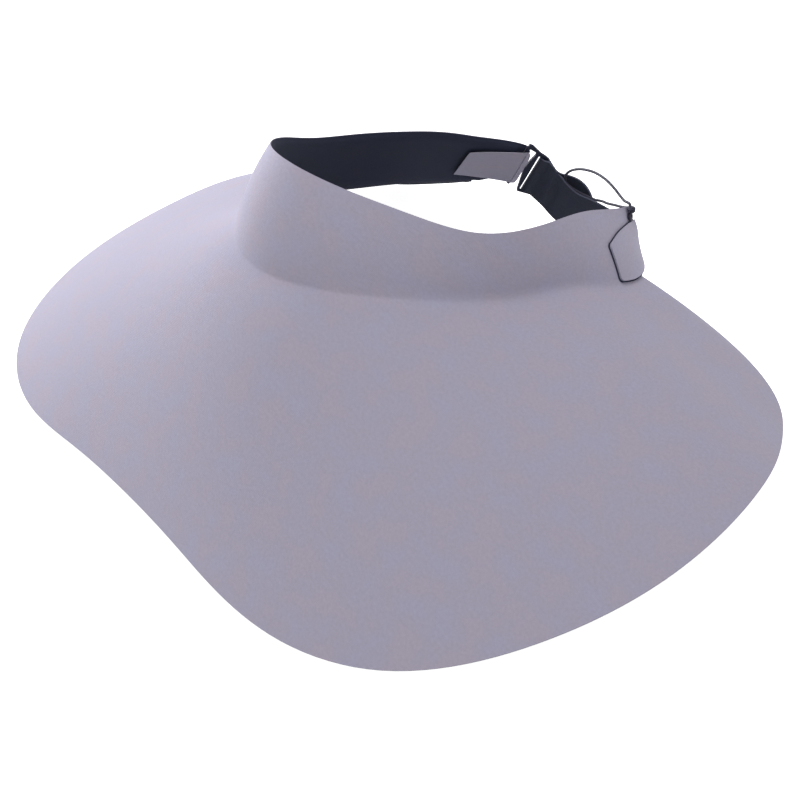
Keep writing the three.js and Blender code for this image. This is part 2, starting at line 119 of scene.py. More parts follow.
# The buckle's plate. columns: along the strap, down from the arm's top corner
BUCKLE_OUTLINE = (
    (-0.8, -4),
    (1.4, -4),
    (8.2, -0.4),
    (12.3, 0.9),
    (12.3, 28.5),
    (6.9, 28.5),
    (6.4, 26.5),
    (4.9, 19.3),
    (3.6, 12),
    (4.4, 6.3),
    (5.5, 1.2),
    (4.6, -0.4),
    (0.8, -1.4),
    (0.8, 25.2),
    (-0.8, 25.2),
)
BUCKLE_SLOT = ((7.5, 1.5), (7.7, 27.3), (10.7, 27.3), (10.7, 2))

# The strap inside the left arm. columns: head angle, shares down the arm of its top and bottom edges
STRAP_IN_ARM = ((122, 0.16, 0.78), (133, 0.14, 0.8), (141, 0.12, 0.86))
# The strap round the back and its free end.
# columns: top edge's head angle, radius and height, then the bottom edge's
STRAP_AROUND = (
    (153, 82, 50, 150.5, 79, 26),
    (164, 86.5, 40.5, 162, 84, 16),
    (176, 88.5, 35.5, 175, 85.5, 11),
    (187.6, 89, 35.5, 188, 86, 11),
    (194.8, 89, 36.8, 198, 86, 13.5),
    (198.8, 89, 41, 204.3, 86, 19),
    (202.1, 89, 47.5, 209, 86, 26.8),
)
STRAP_FREE_END = (
    (203, 92.9, 45.6, 209, 90.4, 26),
    (199.3, 95.4, 43, 204.5, 93, 20.5),
    (193.8, 96.2, 41.2, 197.3, 94, 17),
    (189.8, 96.2, 40, 191.8, 94, 15),
)

# The tab on the left arm. columns: top edge's head angle and share down the arm, then the bottom edge's
TAB = (
    (117.2, 0.46, 113.3, 0.95),
    (126.5, 0.345, 120, 0.975),
    (134.3, 0.29, 127, 0.98),
    (142.5, 0.27, 145, 0.98),
)

# The elastic loop's route from the knot's one side round to its other side. columns: x, y, z
CORD_ROUTE = (
    (50.5, 66.2, 68),
    (48, 66.9, 67.5),
    (43.8, 68.2, 66.2),
    (39.2, 69.7, 66),
    (30.3, 72.4, 66.7),
    (19.6, 75.3, 66.5),
    (6.7, 78.3, 64.3),
    (-7.5, 81, 59.7),
    (-19, 83.6, 54),
    (-27.3, 86, 48.6),
    (-30.9, 86.4, 45.2),
    (-32, 86.3, 42.2),
    (-31.4, 86.5, 39.6),
    (-28.6, 87.5, 37.4),
    (-24, 89, 35.6),
    (-18.5, 90.2, 34.7),
    (-12.5, 90.7, 34.9),
    (-5.5, 89.8, 37.2),
    (3, 87.2, 40.3),
    (14.4, 83.3, 45.5),
    (22, 80.7, 48.9),
    (30, 77.7, 52.8),
    (37, 75.2, 56.5),
    (43, 73.2, 60),
    (49.5, 69.6, 63.2),
)


class Side(Enum):
    """Which of the wearer's sides a point lies on."""

    LEFT = 1
    RIGHT = -1


class Layer(Enum):
    """The faces of a sheet, and the finish slot that each one takes."""

    NEAR = 0
    FAR = 1
    EDGE = 2


def linear(code: str) -> tuple[float, float, float, float]:
    """Turns an sRGB hex colour to linear light.

    Args:
        code: Six hex digits, such as "9f99aa".

    Returns:
        Red, green, blue and an alpha of one.
    """
    parts = [int(code[i : i + 2], 16) / 255 for i in (0, 2, 4)]
    red, green, blue = (p / 12.92 if p <= 0.04045 else ((p + 0.055) / 1.055) ** 2.4 for p in parts)
    return red, green, blue, 1.0


def unit(vector: np.ndarray) -> np.ndarray:
    """Returns the vector at length one."""
    return vector / np.linalg.norm(vector)


def lerp(start: float, end: float, share: float) -> float:
    """Returns the value at a share of the way from start to end."""
    return start + (end - start) * share


def smoothstep(value: Value, low: float, high: float) -> Value:
    """Returns 0 below low, 1 above high and a smooth rise between them."""
    share = np.clip((value - low) / (high - low), 0.0, 1.0)
    return share * share * (3 - 2 * share)


def lengths(points: np.ndarray) -> np.ndarray:
    """Returns how far along a line of points each of them lies."""
    return np.concatenate([[0], np.cumsum(np.linalg.norm(np.diff(points, axis=0), axis=1))])


def beside(points: np.ndarray, start: np.ndarray, end: np.ndarray) -> tuple[np.ndarray, float, np.ndarray]:
    """Measures points in the plane against a straight line.

    Args:
        points: The points, as (radius, height).
        start: The line's start.
        end: Its end.

    Returns:
        How far along the line each point lies, the line's length and the direction off it.
    """
    length = np.linalg.norm(end - start)
    along = (end - start) / length
    return np.clip((points - start) @ along, 0, length), length, np.array([-along[1], along[0]])


def bowed(points: np.ndarray, start: np.ndarray, end: np.ndarray, out: float) -> np.ndarray:
    """Bows points off the straight line that they follow.

    Args:
        points: The points, as (radius, height).
        start: The line's start.
        end: Its end.
        out: How far the line's middle moves.

    Returns:
        The moved points.
    """
    at, length, off = beside(points, start, end)
    share = at / length
    return points + (4 * out * share * (1 - share))[:, None] * off


def cord_points(points: np.ndarray, at: np.ndarray) -> np.ndarray:
    """Samples a centripetal Catmull-Rom curve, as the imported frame's own curves are drawn.

    Args:
        points: The points that the curve goes through, one per row.
        at: Places on the curve, from 0 at its first point to 1 at its last.

    Returns:
        One sampled point per row.
    """
    full = np.vstack([2 * points[0] - points[1], points, 2 * points[-1] - points[-2]])
    made = []
    for value in at:
        place = value * (len(points) - 1)
        i = min(int(place), len(points) - 2)
        t = place - i
        a, b, c, d = full[i : i + 4]
        before, here, after = (math.sqrt(np.linalg.norm(q - p)) for p, q in ((a, b), (b, c), (c, d)))
        start = ((b - a) / before - (c - a) / (before + here) + (c - b) / here) * here
        end = ((c - b) / here - (d - b) / (here + after) + (d - c) / after) * here
        square, cube = 3 * (c - b) - 2 * start - end, 2 * (b - c) + start + end
        made.append(b + start * t + square * t**2 + cube * t**3)
    return np.array(made)


class SmoothColumn:
    """A smooth curve through one column of a table, level at the front and free at its last row."""

    def __init__(self, rows: Table, column: int) -> None:
        """Works out the curve's bends.

        Args:
            rows: The table, with its head angles first.
            column: The column that the curve goes through.
        """
        self.x = np.array([row[0] for row in rows], float)
        self.y = np.array([row[column] for row in rows], float)
        step = np.diff(self.x)
        slope = np.diff(self.y) / step
        count = len(self.x)
        sums = np.eye(count)
        wanted = np.zeros(count)
        sums[0, :2] = 2 * step[0], step[0]
        wanted[0] = 6 * slope[0]
        for i in range(1, count - 1):
            sums[i, i - 1 : i + 2] = step[i - 1], 2 * (step[i - 1] + step[i]), step[i]
            wanted[i] = 6 * (slope[i] - slope[i - 1])
        self.bend = np.linalg.solve(sums, wanted)

    def __call__(self, angle: float) -> float:
        """Reads the curve.

        Args:
            angle: The head angle, on either side.

        Returns:
            The curve's value there.
        """
        at = min(abs(angle), self.x[-1])
        i = int(min(np.searchsorted(self.x, at, side="left"), len(self.x) - 1))
        i = max(i - 1, 0)
        step = self.x[i + 1] - self.x[i]
        a = (self.x[i + 1] - at) / step
        b = 1 - a
        curve = ((a**3 - a) * self.bend[i] + (b**3 - b) * self.bend[i + 1]) * step * step / 6
        return float(a * self.y[i] + b * self.y[i + 1] + curve)


@dataclass(frozen=True)
class ArmEnd:
    """Where an arm past the brim ends, and how far its corners are cut back."""

    top: float
    foot: float
    rise: float = 0.0
    cut: float = 0.0


@dataclass(frozen=True)
class Swell:
    """A soft swelling: most at one head angle, and falling away to both sides of it."""

    angle: float
    spread: float
    most: float

    def at(self, angle: float) -> float:
        """Returns its height at a head angle."""
        return self.most * math.exp(-(((angle - self.angle) / self.spread) ** 2))


@dataclass
class HatForm:
    """The hat's outer face: where a point lies at a head angle and a share of the way down.

    The collar's front rounds out over its own foot (drape). The brim leaves the collar over a bend, then
    a soft shoulder with a slight welt in it, all a little left of the front.
    """

    bend_up: float = 5.0
    bend_out: float = 5.0
    bend_share: float = 0.45
    collar_bow: float = 0.045
    drape: Swell = Swell(12, 26, 1.6)
    brim_bow: float = 0.035
    shoulder: Swell = Swell(17, 22, 5.0)
    shoulder_width: float = 15.0
    shoulder_widening: float = 0.7
    welt: Swell = Swell(30, 15, 0.8)
    welt_place: float = 5.0
    welt_width: float = 2.6
    edge_rows: tuple[float, ...] = (0.0, 0.6, 1.5, 2.8)
    edge_share: float = 0.25
    collar_steps: int = 9
    bend_steps: int = 12
    brim_steps: int = 26
    taper: tuple[float, float] = (0.1, 0.65)
    ends: dict[Side, ArmEnd] = field(
        default_factory=lambda: {
            Side.RIGHT: ArmEnd(148, 137.6, 0.05, 0.14),
            Side.LEFT: ArmEnd(144, 148),
        }
    )

    def __post_init__(self) -> None:
        """Draws the smooth curves through the tables."""
        self.top_radius, self.top_height, self.foot_radius, self.foot_height = (
            SmoothColumn(COLLAR, column) for column in (1, 2, 3, 4)
        )
        rows = [*RIM, (BRIM_END, self.foot_radius(BRIM_END), self.foot_height(BRIM_END))]
        self.rim_radius, self.rim_height = SmoothColumn(rows, 1), SmoothColumn(rows, 2)

    def top(self, angle: float) -> np.ndarray:
        """Returns the collar's top edge as (radius, height)."""
        return np.array([self.top_radius(angle), self.top_height(angle)])

    def foot(self, angle: float) -> np.ndarray:
        """Returns the collar's foot as (radius, height)."""
        return np.array([self.foot_radius(angle), self.foot_height(angle)])

    @staticmethod
    def place(angle: float, points: np.ndarray) -> np.ndarray:
        """Places a section's points in space.

        Args:
            angle: The head angle.
            points: The points, as (radius, height).

        Returns:
            The points as x, y and z.
        """
        turn = math.radians(angle)
        radius = points[..., 0]
        return np.stack([radius * math.sin(turn), -radius * math.cos(turn), points[..., 1]], axis=-1)

    def raised(self, points: np.ndarray, foot: np.ndarray, edge: np.ndarray, angle: float) -> np.ndarray:
        """Raises the brim's shoulder: fast out from the foot, then slowly back to nothing at the rim.

        Args:
            points: The brim's points, as (radius, height).
            foot: The collar's foot.
            edge: The rim.
            angle: The section's head angle.

        Returns:
            The raised points.
        """
        out, length, up = beside(points, foot, edge)
        width = self.shoulder_width + self.shoulder_widening * max(angle - self.shoulder.angle, 0)
        rise = 1 - np.exp(-out / width) - out / length * (1 - math.exp(-length / width))
        welt = np.exp(-(((out - self.welt_place) / self.welt_width) ** 2) / 2)
        height = rise * self.shoulder.at(angle) + welt * self.welt.at(angle)
        return points + height[:, None] * up

    def section(self, angle: float) -> tuple[np.ndarray, int]:
        """Draws the section at a head angle, from the collar's top edge over the bend to the rim.

        Args:
            angle: The head angle.

        Returns:
            The rows as (radius, height), and how many of them belong to the collar and the bend.
        """
        top, foot = self.top(angle), self.foot(angle)
        on_brim = abs(angle) < BRIM_END
        edge = np.array([self.rim_radius(angle), self.rim_height(angle)]) if on_brim else foot
        rise, reach = np.linalg.norm(top - foot), np.linalg.norm(edge - foot)
        bend_start = foot + (top - foot) * min(self.bend_up / rise, self.bend_share)
        out = min(self.bend_out / reach, self.bend_share) if reach > 0 else 0.0
        bend_end = foot + (edge - foot) * out
        first = np.array(self.edge_rows) / np.linalg.norm(top - bend_start)
        shares = np.concatenate([first, np.linspace(first[-1], 1, self.collar_steps + 1)[1:]])
        collar = top + shares[:, None] * (bend_start - top)
        t = np.linspace(0, 1, self.bend_steps + 1)[1:, None]
        lower = (1 - t) ** 2 * bend_start + 2 * t * (1 - t) * foot + t**2 * bend_end
        collar_rows = len(collar) + len(lower)
        if reach > 0:
            width = np.linalg.norm(edge - bend_end)
            scale = min(1 / width, self.edge_share / self.edge_rows[-1])
            last = 1 - scale * np.array(self.edge_rows[::-1])
            shares = np.concatenate([np.linspace(0, last[0], self.brim_steps + 1)[1:], last[1:]])
            lower = np.vstack([lower, bend_end + shares[:, None] * (edge - bend_end)])
            lower = bowed(lower, foot, edge, self.brim_bow * reach)
            lower = self.raised(lower, foot, edge, angle)
        rows = np.vstack([collar, lower])
        fade = 1 - min(abs(angle) / BRIM_END, 1) ** 2
        bow = self.collar_bow * fade * rise + self.drape.at(angle)
        rows[:collar_rows] = bowed(rows[:collar_rows], top, foot, bow)
        return rows, collar_rows

    def arm_shares(self) -> np.ndarray:
        """Returns an arm's rows, as shares of the way down from its top edge to its foot."""
        points, collar_rows = self.section(BRIM_END)
        fall = np.linalg.norm(points[:collar_rows] - points[0], axis=1)
        return fall / fall[-1]

    def arm_face(self, side: Side, down: float, share: float) -> np.ndarray:
        """Finds a point of an arm's outer face. The arm's end is straight, so that a bar fits in it.

        Args:
            side: Left or right.
            down: The share of the way down from the arm's top edge to its foot.
            share: The share of the way along from the brim's end to the arm's end.

        Returns:
            The point.
        """
        end = self.ends[side]
        angle = lerp(BRIM_END, lerp(end.top, end.foot, down), share)
        on_face = self.place(side.value * angle, lerp(self.top(angle), self.foot(angle), down))
        top = self.place(side.value * end.top, self.top(end.top))
        foot = self.place(side.value * end.foot, self.foot(end.foot))
        return lerp(on_face, lerp(top, foot, down), max(share, 0.0) ** 2)

    def arm_down(self, side: Side, down: float, share: float) -> float:
        """Moves a row with the right arm's taper.

        Args:
            side: Left or right.
            down: The row, as a share of the way down.
            share: The share of the way along the arm.

        Returns:
            The share of the way down the arm's face.
        """
        end = self.ends[side]
        narrowed = smoothstep(share, *self.taper)
        return lerp(-end.rise * narrowed, 1 - end.cut * narrowed, down)

    def face_point(self, side: Side, angle: float, down: float) -> np.ndarray:
        """Finds a point of the outer face, which lies on the arm where the head angle is past the brim.

        Args:
            side: Left or right.
            angle: The head angle.
            down: The share of the way down from the top edge.

        Returns:
            The point.
        """
        if angle >= BRIM_END:
            end = self.ends[side]
            share = (angle - BRIM_END) / (lerp(end.top, end.foot, down) - BRIM_END)
            return self.arm_face(side, down, share)
        points, _ = self.section(angle)
        left = down * np.linalg.norm(self.top(angle) - self.foot(angle))
        found = np.array([np.interp(left, lengths(points), points[:, k]) for k in (0, 1)])
        return self.place(side.value * angle, found)

    def inside(self, side: Side, angle: float, down: float, depth: float) -> np.ndarray:
        """Finds a point beside the outer face.

        Args:
            side: Left or right.
            angle: The head angle.
            down: The share of the way down from the top edge.
            depth: How far inside the face the point lies; a negative depth lies outside it.

        Returns:
            The point.
        """
        step, fall = 0.5, 0.02
        along = self.face_point(side, angle + step, down) - self.face_point(side, angle - step, down)
        below = self.face_point(side, angle, down + fall) - self.face_point(side, angle, down - fall)
        inward = unit(np.cross(along, below) * side.value)
        return self.face_point(side, angle, down) + inward * depth

    def flat(self, angle: float, fall: float) -> tuple[float, float, float]:
        """Finds where a point of the moulded sheet lay in the flat cloth.

        Args:
            angle: The head angle.
            fall: Millimetres out from the collar's foot, negative up the collar.

        Returns:
            The place in the cloth.
        """
        radius = self.foot_radius(angle) + fall
        turn = math.radians(angle)
        return radius * math.sin(turn), -radius * math.cos(turn), 0.0


class EndFrame:
    """The right arm's straight end: down from its top corner, along past it and inward to the head."""

    def __init__(self, form: HatForm) -> None:
        """Finds the end's three directions.

        Args:
            form: The hat's outer face.
        """
        self.top = form.arm_face(Side.RIGHT, 0, 1)
        rise = self.top - form.arm_face(Side.RIGHT, 1, 1)
        self.length = float(np.linalg.norm(rise))
        self.up = rise / self.length
        along = form.arm_face(Side.RIGHT, 0.5, 1) - form.arm_face(Side.RIGHT, 0.5, 0.75)
        self.along = unit(along - self.up * along.dot(self.up))
        self.inward = np.cross(self.along, self.up)

    def at(self, down: float, along: float, inward: float) -> np.ndarray:
        """Returns a point from millimetres in the end's three directions."""
        return self.top - self.up * down + self.along * along + self.inward * inward


@dataclass
class Shape:
    """A closed mesh: its points in millimetres, its faces with their finish, and its cloth grain."""

    points: np.ndarray
    faces: list[tuple[int, ...]]
    finish: list[int]
    cloth: np.ndarray


class Surface:
    """An open surface of welded points and the four-sided cells between them."""

    def __init__(self, steepest: float = 0.8) -> None:
        """Starts with no points.

        Args:
            steepest: The least share of a face's own direction that a point's direction keeps.
        """
        self.steepest = steepest
        self.points: list[np.ndarray] = []
        self.cloth: list[Sequence[float]] = []
        self.cells: list[tuple[int, ...]] = []
        self.tags: list[tuple[str, int, int]] = []

    def add_grid(self, part: str, columns: Sequence, cloth: Sequence, weld: Optional[Weld] = None) -> None:
        """Adds a grid of points.

        Args:
            part: The grid's name, for picking cells later.
            columns: A list of points for each station.
            cloth: Where each of those points lay in the flat cloth.
            weld: Gives the number of a point that is already there, or None.
        """
        index = []
        for i, column in enumerate(columns):
            row = []
            for j, point in enumerate(column):
                known = weld(i, j) if weld else None
                if known is None:
                    known = len(self.points)
                    self.points.append(np.asarray(point, float))
                    self.cloth.append(cloth[i][j])
                row.append(known)
            index.append(row)
        for i in range(len(index) - 1):
            for j in range(len(index[i]) - 1):
                cell = (index[i][j], index[i][j + 1], index[i + 1][j + 1], index[i + 1][j])
                self.cells.append(cell)
                self.tags.append((part, i, j))

    def offsets(self) -> np.ndarray:
        """Returns the way to move each point so that each face round it moves by one unit."""
        points, cells = np.array(self.points), np.array(self.cells)
        a, b, c, d = (points[cells[:, k]] for k in range(4))
        faces = np.cross(c - a, d - b)
        sums = np.zeros_like(points)
        for k in range(4):
            np.add.at(sums, cells[:, k], faces)
        for vectors in (sums, faces):
            vectors /= np.maximum(np.linalg.norm(vectors, axis=1, keepdims=True), TINY)
        slant = np.ones(len(points))
        for k in range(4):
            lean = np.einsum("ij,ij->i", faces, sums[cells[:, k]])
            np.minimum.at(slant, cells[:, k], lean)
        return sums / np.maximum(slant, self.steepest)[:, None]

    @staticmethod
    def loops(cells: Sequence[Sequence[int]]) -> list[tuple[int, ...]]:
        """Returns the cells without their welded corners, and without cells that have no area."""
        found = [tuple(dict.fromkeys(cell)) for cell in cells]
        return [loop for loop in found if len(loop) > 2]

    @staticmethod
    def cut_edges(loops: Sequence[tuple[int, ...]]) -> list[tuple[int, int]]:
        """Finds the sides that no other cell shares.

        Args:
            loops: The cells, each with its corners in turn.

        Returns:
            The sides, in the cells' own turning sense.
        """
        edges: dict[tuple[int, int], bool] = {}
        for loop in loops:
            for p, q in zip(loop, loop[1:] + loop[:1]):
                if edges.pop((q, p), None) is None:
                    edges[(p, q)] = True
        return list(edges)

    def skive(self, edge_share: float, width: float) -> np.ndarray:
        """Thins the sheet towards its cut edges.

        Args:
            edge_share: The share of the thickness that is left at the edge itself.
            width: How far in from the edge the sheet has its full thickness.

        Returns:
            Each point's share of the full thickness.
        """
        points = np.array(self.points)
        edge = points[sorted({k for pair in self.cut_edges(self.loops(self.cells)) for k in pair})]
        squares = (points**2).sum(1)[:, None] + (edge**2).sum(1) - 2 * points @ edge.T
        away = np.sqrt(np.maximum(squares.min(1), 0))
        return edge_share + (1 - edge_share) * smoothstep(away, 0, width)

    def sheet(
        self, near: float, far: float, keep: Optional[Keep] = None, thinned: Optional[np.ndarray] = None
    ) -> Shape:
        """Thickens the surface to a closed sheet between two depths below it.

        Args:
            near: Depth of the sheet's near face.
            far: Depth of its far face.
            keep: Says whether the sheet has a cell, from its grid's name, station and row.
            thinned: Each point's share of those depths, or None for all of them.

        Returns:
            The closed sheet, with the finish slots of Layer.
        """
        kept = [c for c, tag in zip(self.cells, self.tags) if keep is None or keep(*tag)]
        used = sorted({k for cell in kept for k in cell})
        number = {k: i for i, k in enumerate(used)}
        points, offsets = np.array(self.points)[used], self.offsets()[used]
        if thinned is not None:
            offsets = offsets * thinned[used, None]
        count = len(used)
        faces: list[tuple[int, ...]] = []
        finish: list[int] = []
        loops = self.loops([[number[k] for k in cell] for cell in kept])
        for loop in loops:
            faces += [loop, tuple(k + count for k in reversed(loop))]
            finish += [Layer.NEAR.value, Layer.FAR.value]
        for p, q in self.cut_edges(loops):
            faces.append((q, p, p + count, q + count))
            finish.append(Layer.EDGE.value)
        cloth = np.array(self.cloth, float)[used]
        made = np.vstack([points - offsets * near, points - offsets * far])
        return Shape(made, faces, finish, np.vstack([cloth, cloth]))


def tube(path: np.ndarray, radius: float, sides: int, closed: bool = False) -> Shape:
    """Draws a round tube along a path.

    Args:
        path: The points down its middle.
        radius: The tube's radius.
        sides: How many sides it has.
        closed: Whether its end meets its start.

    Returns:
        The tube, with its grain round it and along it.
    """
    count = len(path)
    ahead = np.roll(path, -1, axis=0) - np.roll(path, 1, axis=0)
    if not closed:
        ahead[0], ahead[-1] = path[1] - path[0], path[-1] - path[-2]
    ahead /= np.linalg.norm(ahead, axis=1, keepdims=True)
    across = unit(np.cross(ahead[0], ASKEW))
    frames = []
    for way in ahead:
        across = unit(across - way * across.dot(way))
        frames.append((across, np.cross(way, across)))
    twist = 0.0
    if closed:
        back = frames[-1][0] - ahead[0] * frames[-1][0].dot(ahead[0])
        twist = math.atan2(back.dot(frames[0][1]), back.dot(frames[0][0]))
    along = lengths(path)
    points, cloth = [], []
    for i, (first, second) in enumerate(frames):
        for k in range(sides):
            turn = 2 * math.pi * k / sides - twist * i / count
            points.append(path[i] + radius * (first * math.cos(turn) + second * math.sin(turn)))
            cloth.append((2 * radius * abs(math.pi - 2 * math.pi * k / sides), along[i], 0))
    faces = []
    for i in range(count if closed else count - 1):
        j = (i + 1) % count
        for k in range(sides):
            n = (k + 1) % sides
            faces.append((i * sides + k, i * sides + n, j * sides + n, j * sides + k))
    if not closed:
        faces += [tuple(reversed(range(sides))), tuple(range((count - 1) * sides, count * sides))]
    return Shape(np.array(points), faces, [0] * len(faces), np.array(cloth, float))


def add_node(
    tree: bpy.types.NodeTree,
    kind: str,
    settings: Optional[dict[Any, Any]] = None,
    links: Optional[dict[Any, bpy.types.NodeSocket]] = None,
) -> bpy.types.Node:
    """Adds a node with its settings and links.

    Args:
        tree: The material's node tree.
        kind: The node's type.
        settings: Values by input name or number, or by the node's own property.
        links: The socket that feeds each input.

    Returns:
        The node.
    """
    node = tree.nodes.new(kind)
    for key, value in (settings or {}).items():
        if isinstance(key, int) or key in node.inputs:
            node.inputs[key].default_value = value
        else:
            setattr(node, key, value)
    for key, source in (links or {}).items():
        tree.links.new(source, node.inputs[key])
    return node


def add_sum(
    tree: bpy.types.NodeTree, operation: str, links: dict[int, bpy.types.NodeSocket], amount: float
) -> bpy.types.NodeSocket:
    """Adds a sum and returns its result; the amount is its second input."""
    return add_node(tree, "ShaderNodeMath", {"operation": operation, 1: amount}, links).outputs[0]


def link(piece: bpy.types.Object) -> bpy.types.Object:
    """Puts an object in the scene and returns it."""
    bpy.context.scene.collection.objects.link(piece)
    return piece


class Finish:
    """A finish that is built from shader nodes."""

    name: str

    def shader(self, tree: bpy.types.NodeTree) -> bpy.types.Node:
        """Builds the finish's shader.

        Args:
            tree: The material's node tree.

        Returns:
            The shader's node.
        """
        raise NotImplementedError

    def material(self) -> bpy.types.Material:
        """Builds the material."""
        made = bpy.data.materials.new(self.name)
        made.use_nodes = True
        made.node_tree.nodes.clear()
        face = self.shader(made.node_tree)
        add_node(made.node_tree, "ShaderNodeOutputMaterial", links={"Surface": face.outputs[0]})
        return made


@dataclass(frozen=True)
class Knit:
    """A jersey knit's loops: upright ribs of small slanted legs, which the light picks out as a grain."""

    rib: float
    row: float
    slant: float = 1.2
    leg: float = 0.25
    loop: float = 0.5

    def relief(self, tree: bpy.types.NodeTree, cloth: bpy.types.NodeSocket) -> bpy.types.NodeSocket:
        """Draws the loops' height.

        Args:
            tree: The material's node tree.
            cloth: Millimetres across and along the flat cloth.

        Returns:
            The height, from 0 between the legs to 1 on top of them.
        """
        size = (1 / self.rib, 1 / self.row, 1)
        place = add_node(tree, "ShaderNodeVectorMath", {"operation": "MULTIPLY", 1: size}, {0: cloth})
        across, along = add_node(tree, "ShaderNodeSeparateXYZ", links={0: place.outputs[0]}).outputs[:2]
        leg = add_sum(tree, "PINGPONG", {0: across}, self.leg)
        half = add_sum(tree, "PINGPONG", {0: across}, self.loop)
        lean = add_sum(tree, "MULTIPLY_ADD", {0: half, 2: along}, self.slant)
        stitch = add_sum(tree, "PINGPONG", {0: lean}, self.loop)
        return add_sum(tree, "MULTIPLY_ADD", {0: leg, 2: stitch}, 0.5 / self.leg)


class Cloth(Finish):
    """What all the hat's cloths share: yarn of two near tones, a knit relief and a soft nap.

    cool and warm are the two tones that slow patches drift between, fleck and patch are the sizes of the
    yarn's flecks and of those patches in millimetres, and fleck_depth is how far a fleck's light varies.
    """

    cool: str
    warm: str
    knit: Knit
    relief: float
    fleck: float
    fleck_depth: float
    patch: float
    roughness: float
    sheen: float
    sheen_tint: str
    sheen_roughness = 0.5
    ior = 1.5
    specular = 0.3

    def shader(self, tree: bpy.types.NodeTree) -> bpy.types.Node:
        """Builds the cloth's shader.

        Args:
            tree: The material's node tree.

        Returns:
            The shader's node.
        """
        cloth = add_node(tree, "ShaderNodeAttribute", {"attribute_name": CLOTH}).outputs["Vector"]
        noises = (
            (self.fleck, 0.6, (0.3, 0.7, 1 - self.fleck_depth, 1 + self.fleck_depth)),
            (self.patch, 0.5, (0.35, 0.65, 0, 1)),
        )
        varied = []
        for size, roughness, limits in noises:
            noise = {"Scale": 1 / size, "Detail": 2.0, "Roughness": roughness}
            found = add_node(tree, "ShaderNodeTexNoise", noise, {"Vector": cloth}).outputs["Fac"]
            spread = dict(zip(("From Min", "From Max", "To Min", "To Max"), limits))
            varied.append(add_node(tree, "ShaderNodeMapRange", spread, {"Value": found}).outputs[0])
        flecks, patches = varied
        tones = {"data_type": "RGBA", 6: linear(self.cool), 7: linear(self.warm)}
        tone = add_node(tree, "ShaderNodeMix", tones, {0: patches}).outputs[2]
        yarn = add_node(tree, "ShaderNodeVectorMath", {"operation": "SCALE"}, {0: tone, 3: flecks})
        raised = {"Strength": 1.0, "Distance": self.relief * MM}
        bump = add_node(tree, "ShaderNodeBump", raised, {"Height": self.knit.relief(tree, cloth)})
        matt = {
            "Roughness": self.roughness,
            "IOR": self.ior,
            "Specular IOR Level": self.specular,
            "Sheen Weight": self.sheen,
            "Sheen Roughness": self.sheen_roughness,
            "Sheen Tint": linear(self.sheen_tint),
        }
        sockets = {"Base Color": yarn.outputs[0], "Normal": bump.outputs[0]}
        return add_node(tree, "ShaderNodeBsdfPrincipled", matt, sockets)


class BrushedPolyesterKnit(Cloth):
    """The hat's face, a brushed polyester knit on thin foam: matt lavender with a soft pale nap."""

    name = "brushed_polyester_knit"
    cool, warm = "9f9db1", "a39cac"
    knit, relief = Knit(0.9, 0.75), 0.07
    fleck, fleck_depth, patch = 1.5, 0.05, 16.0
    roughness, sheen, sheen_tint = 0.9, 0.25, "e6e2f0"


class LiningJersey(Cloth):
    """The lining, a thin black polyester jersey: deep blue-black, with hardly any nap."""

    name = "lining_jersey"
    cool, warm = "292e42", "2a2d3f"
    knit, relief = Knit(0.8, 0.65), 0.04
    fleck, fleck_depth, patch = 1.0, 0.08, 12.0
    roughness, sheen, sheen_tint = 0.85, 0.08, "6c7590"


class CutEdgeWithPaintedHighlight(Cloth):
    """The laminate's skived edge, closed-cell foam and yarn ends, a little paler than the face: partly the
    foam's own tone, partly a painted highlight where the rounded edge catches the light.
    """

    name = "cut_edge_painted_highlight"
    cool, warm = "a5a3b4", "a9a2b0"
    knit, relief = Knit(0.5, 0.5), 0.03
    fleck, fleck_depth, patch = 0.5, 0.05, 4.0
    roughness, sheen, sheen_tint = 0.95, 0.1, "ffffff"


class KnittedElasticWebbing(Cloth):
    """The strap, soft black knitted elastic: fine lengthwise ribs that catch some light."""

    name = "knitted_elastic_webbing"
    cool, warm = "2e3243", "303341"
    knit, relief = Knit(1.0, 0.7), 0.06
    fleck, fleck_depth, patch = 0.9, 0.1, 7.0
    roughness, sheen, sheen_tint = 0.8, 0.15, "7a8298"


class WebbingSelvedge(KnittedElasticWebbing):
    """The strap's selvedges, where turned yarn stands up in small loops: a thin, slightly paler line."""

    name = "webbing_selvedge"
    cool, warm = "474b5e", "494b5b"


class BraidedElastic(Cloth):
    """The loop, a braided polyester sleeve on a rubber core: dark grey, a little glossy on its crowns."""

    name = "braided_elastic"
    cool, warm = "3a3b4e", "3e3c4c"
    knit, relief = Knit(0.6, 0.8), 0.12
    fleck, fleck_depth, patch = 0.6, 0.2, 5.0
    roughness, sheen, sheen_tint = 0.6, 0.15, "a0a6b4"


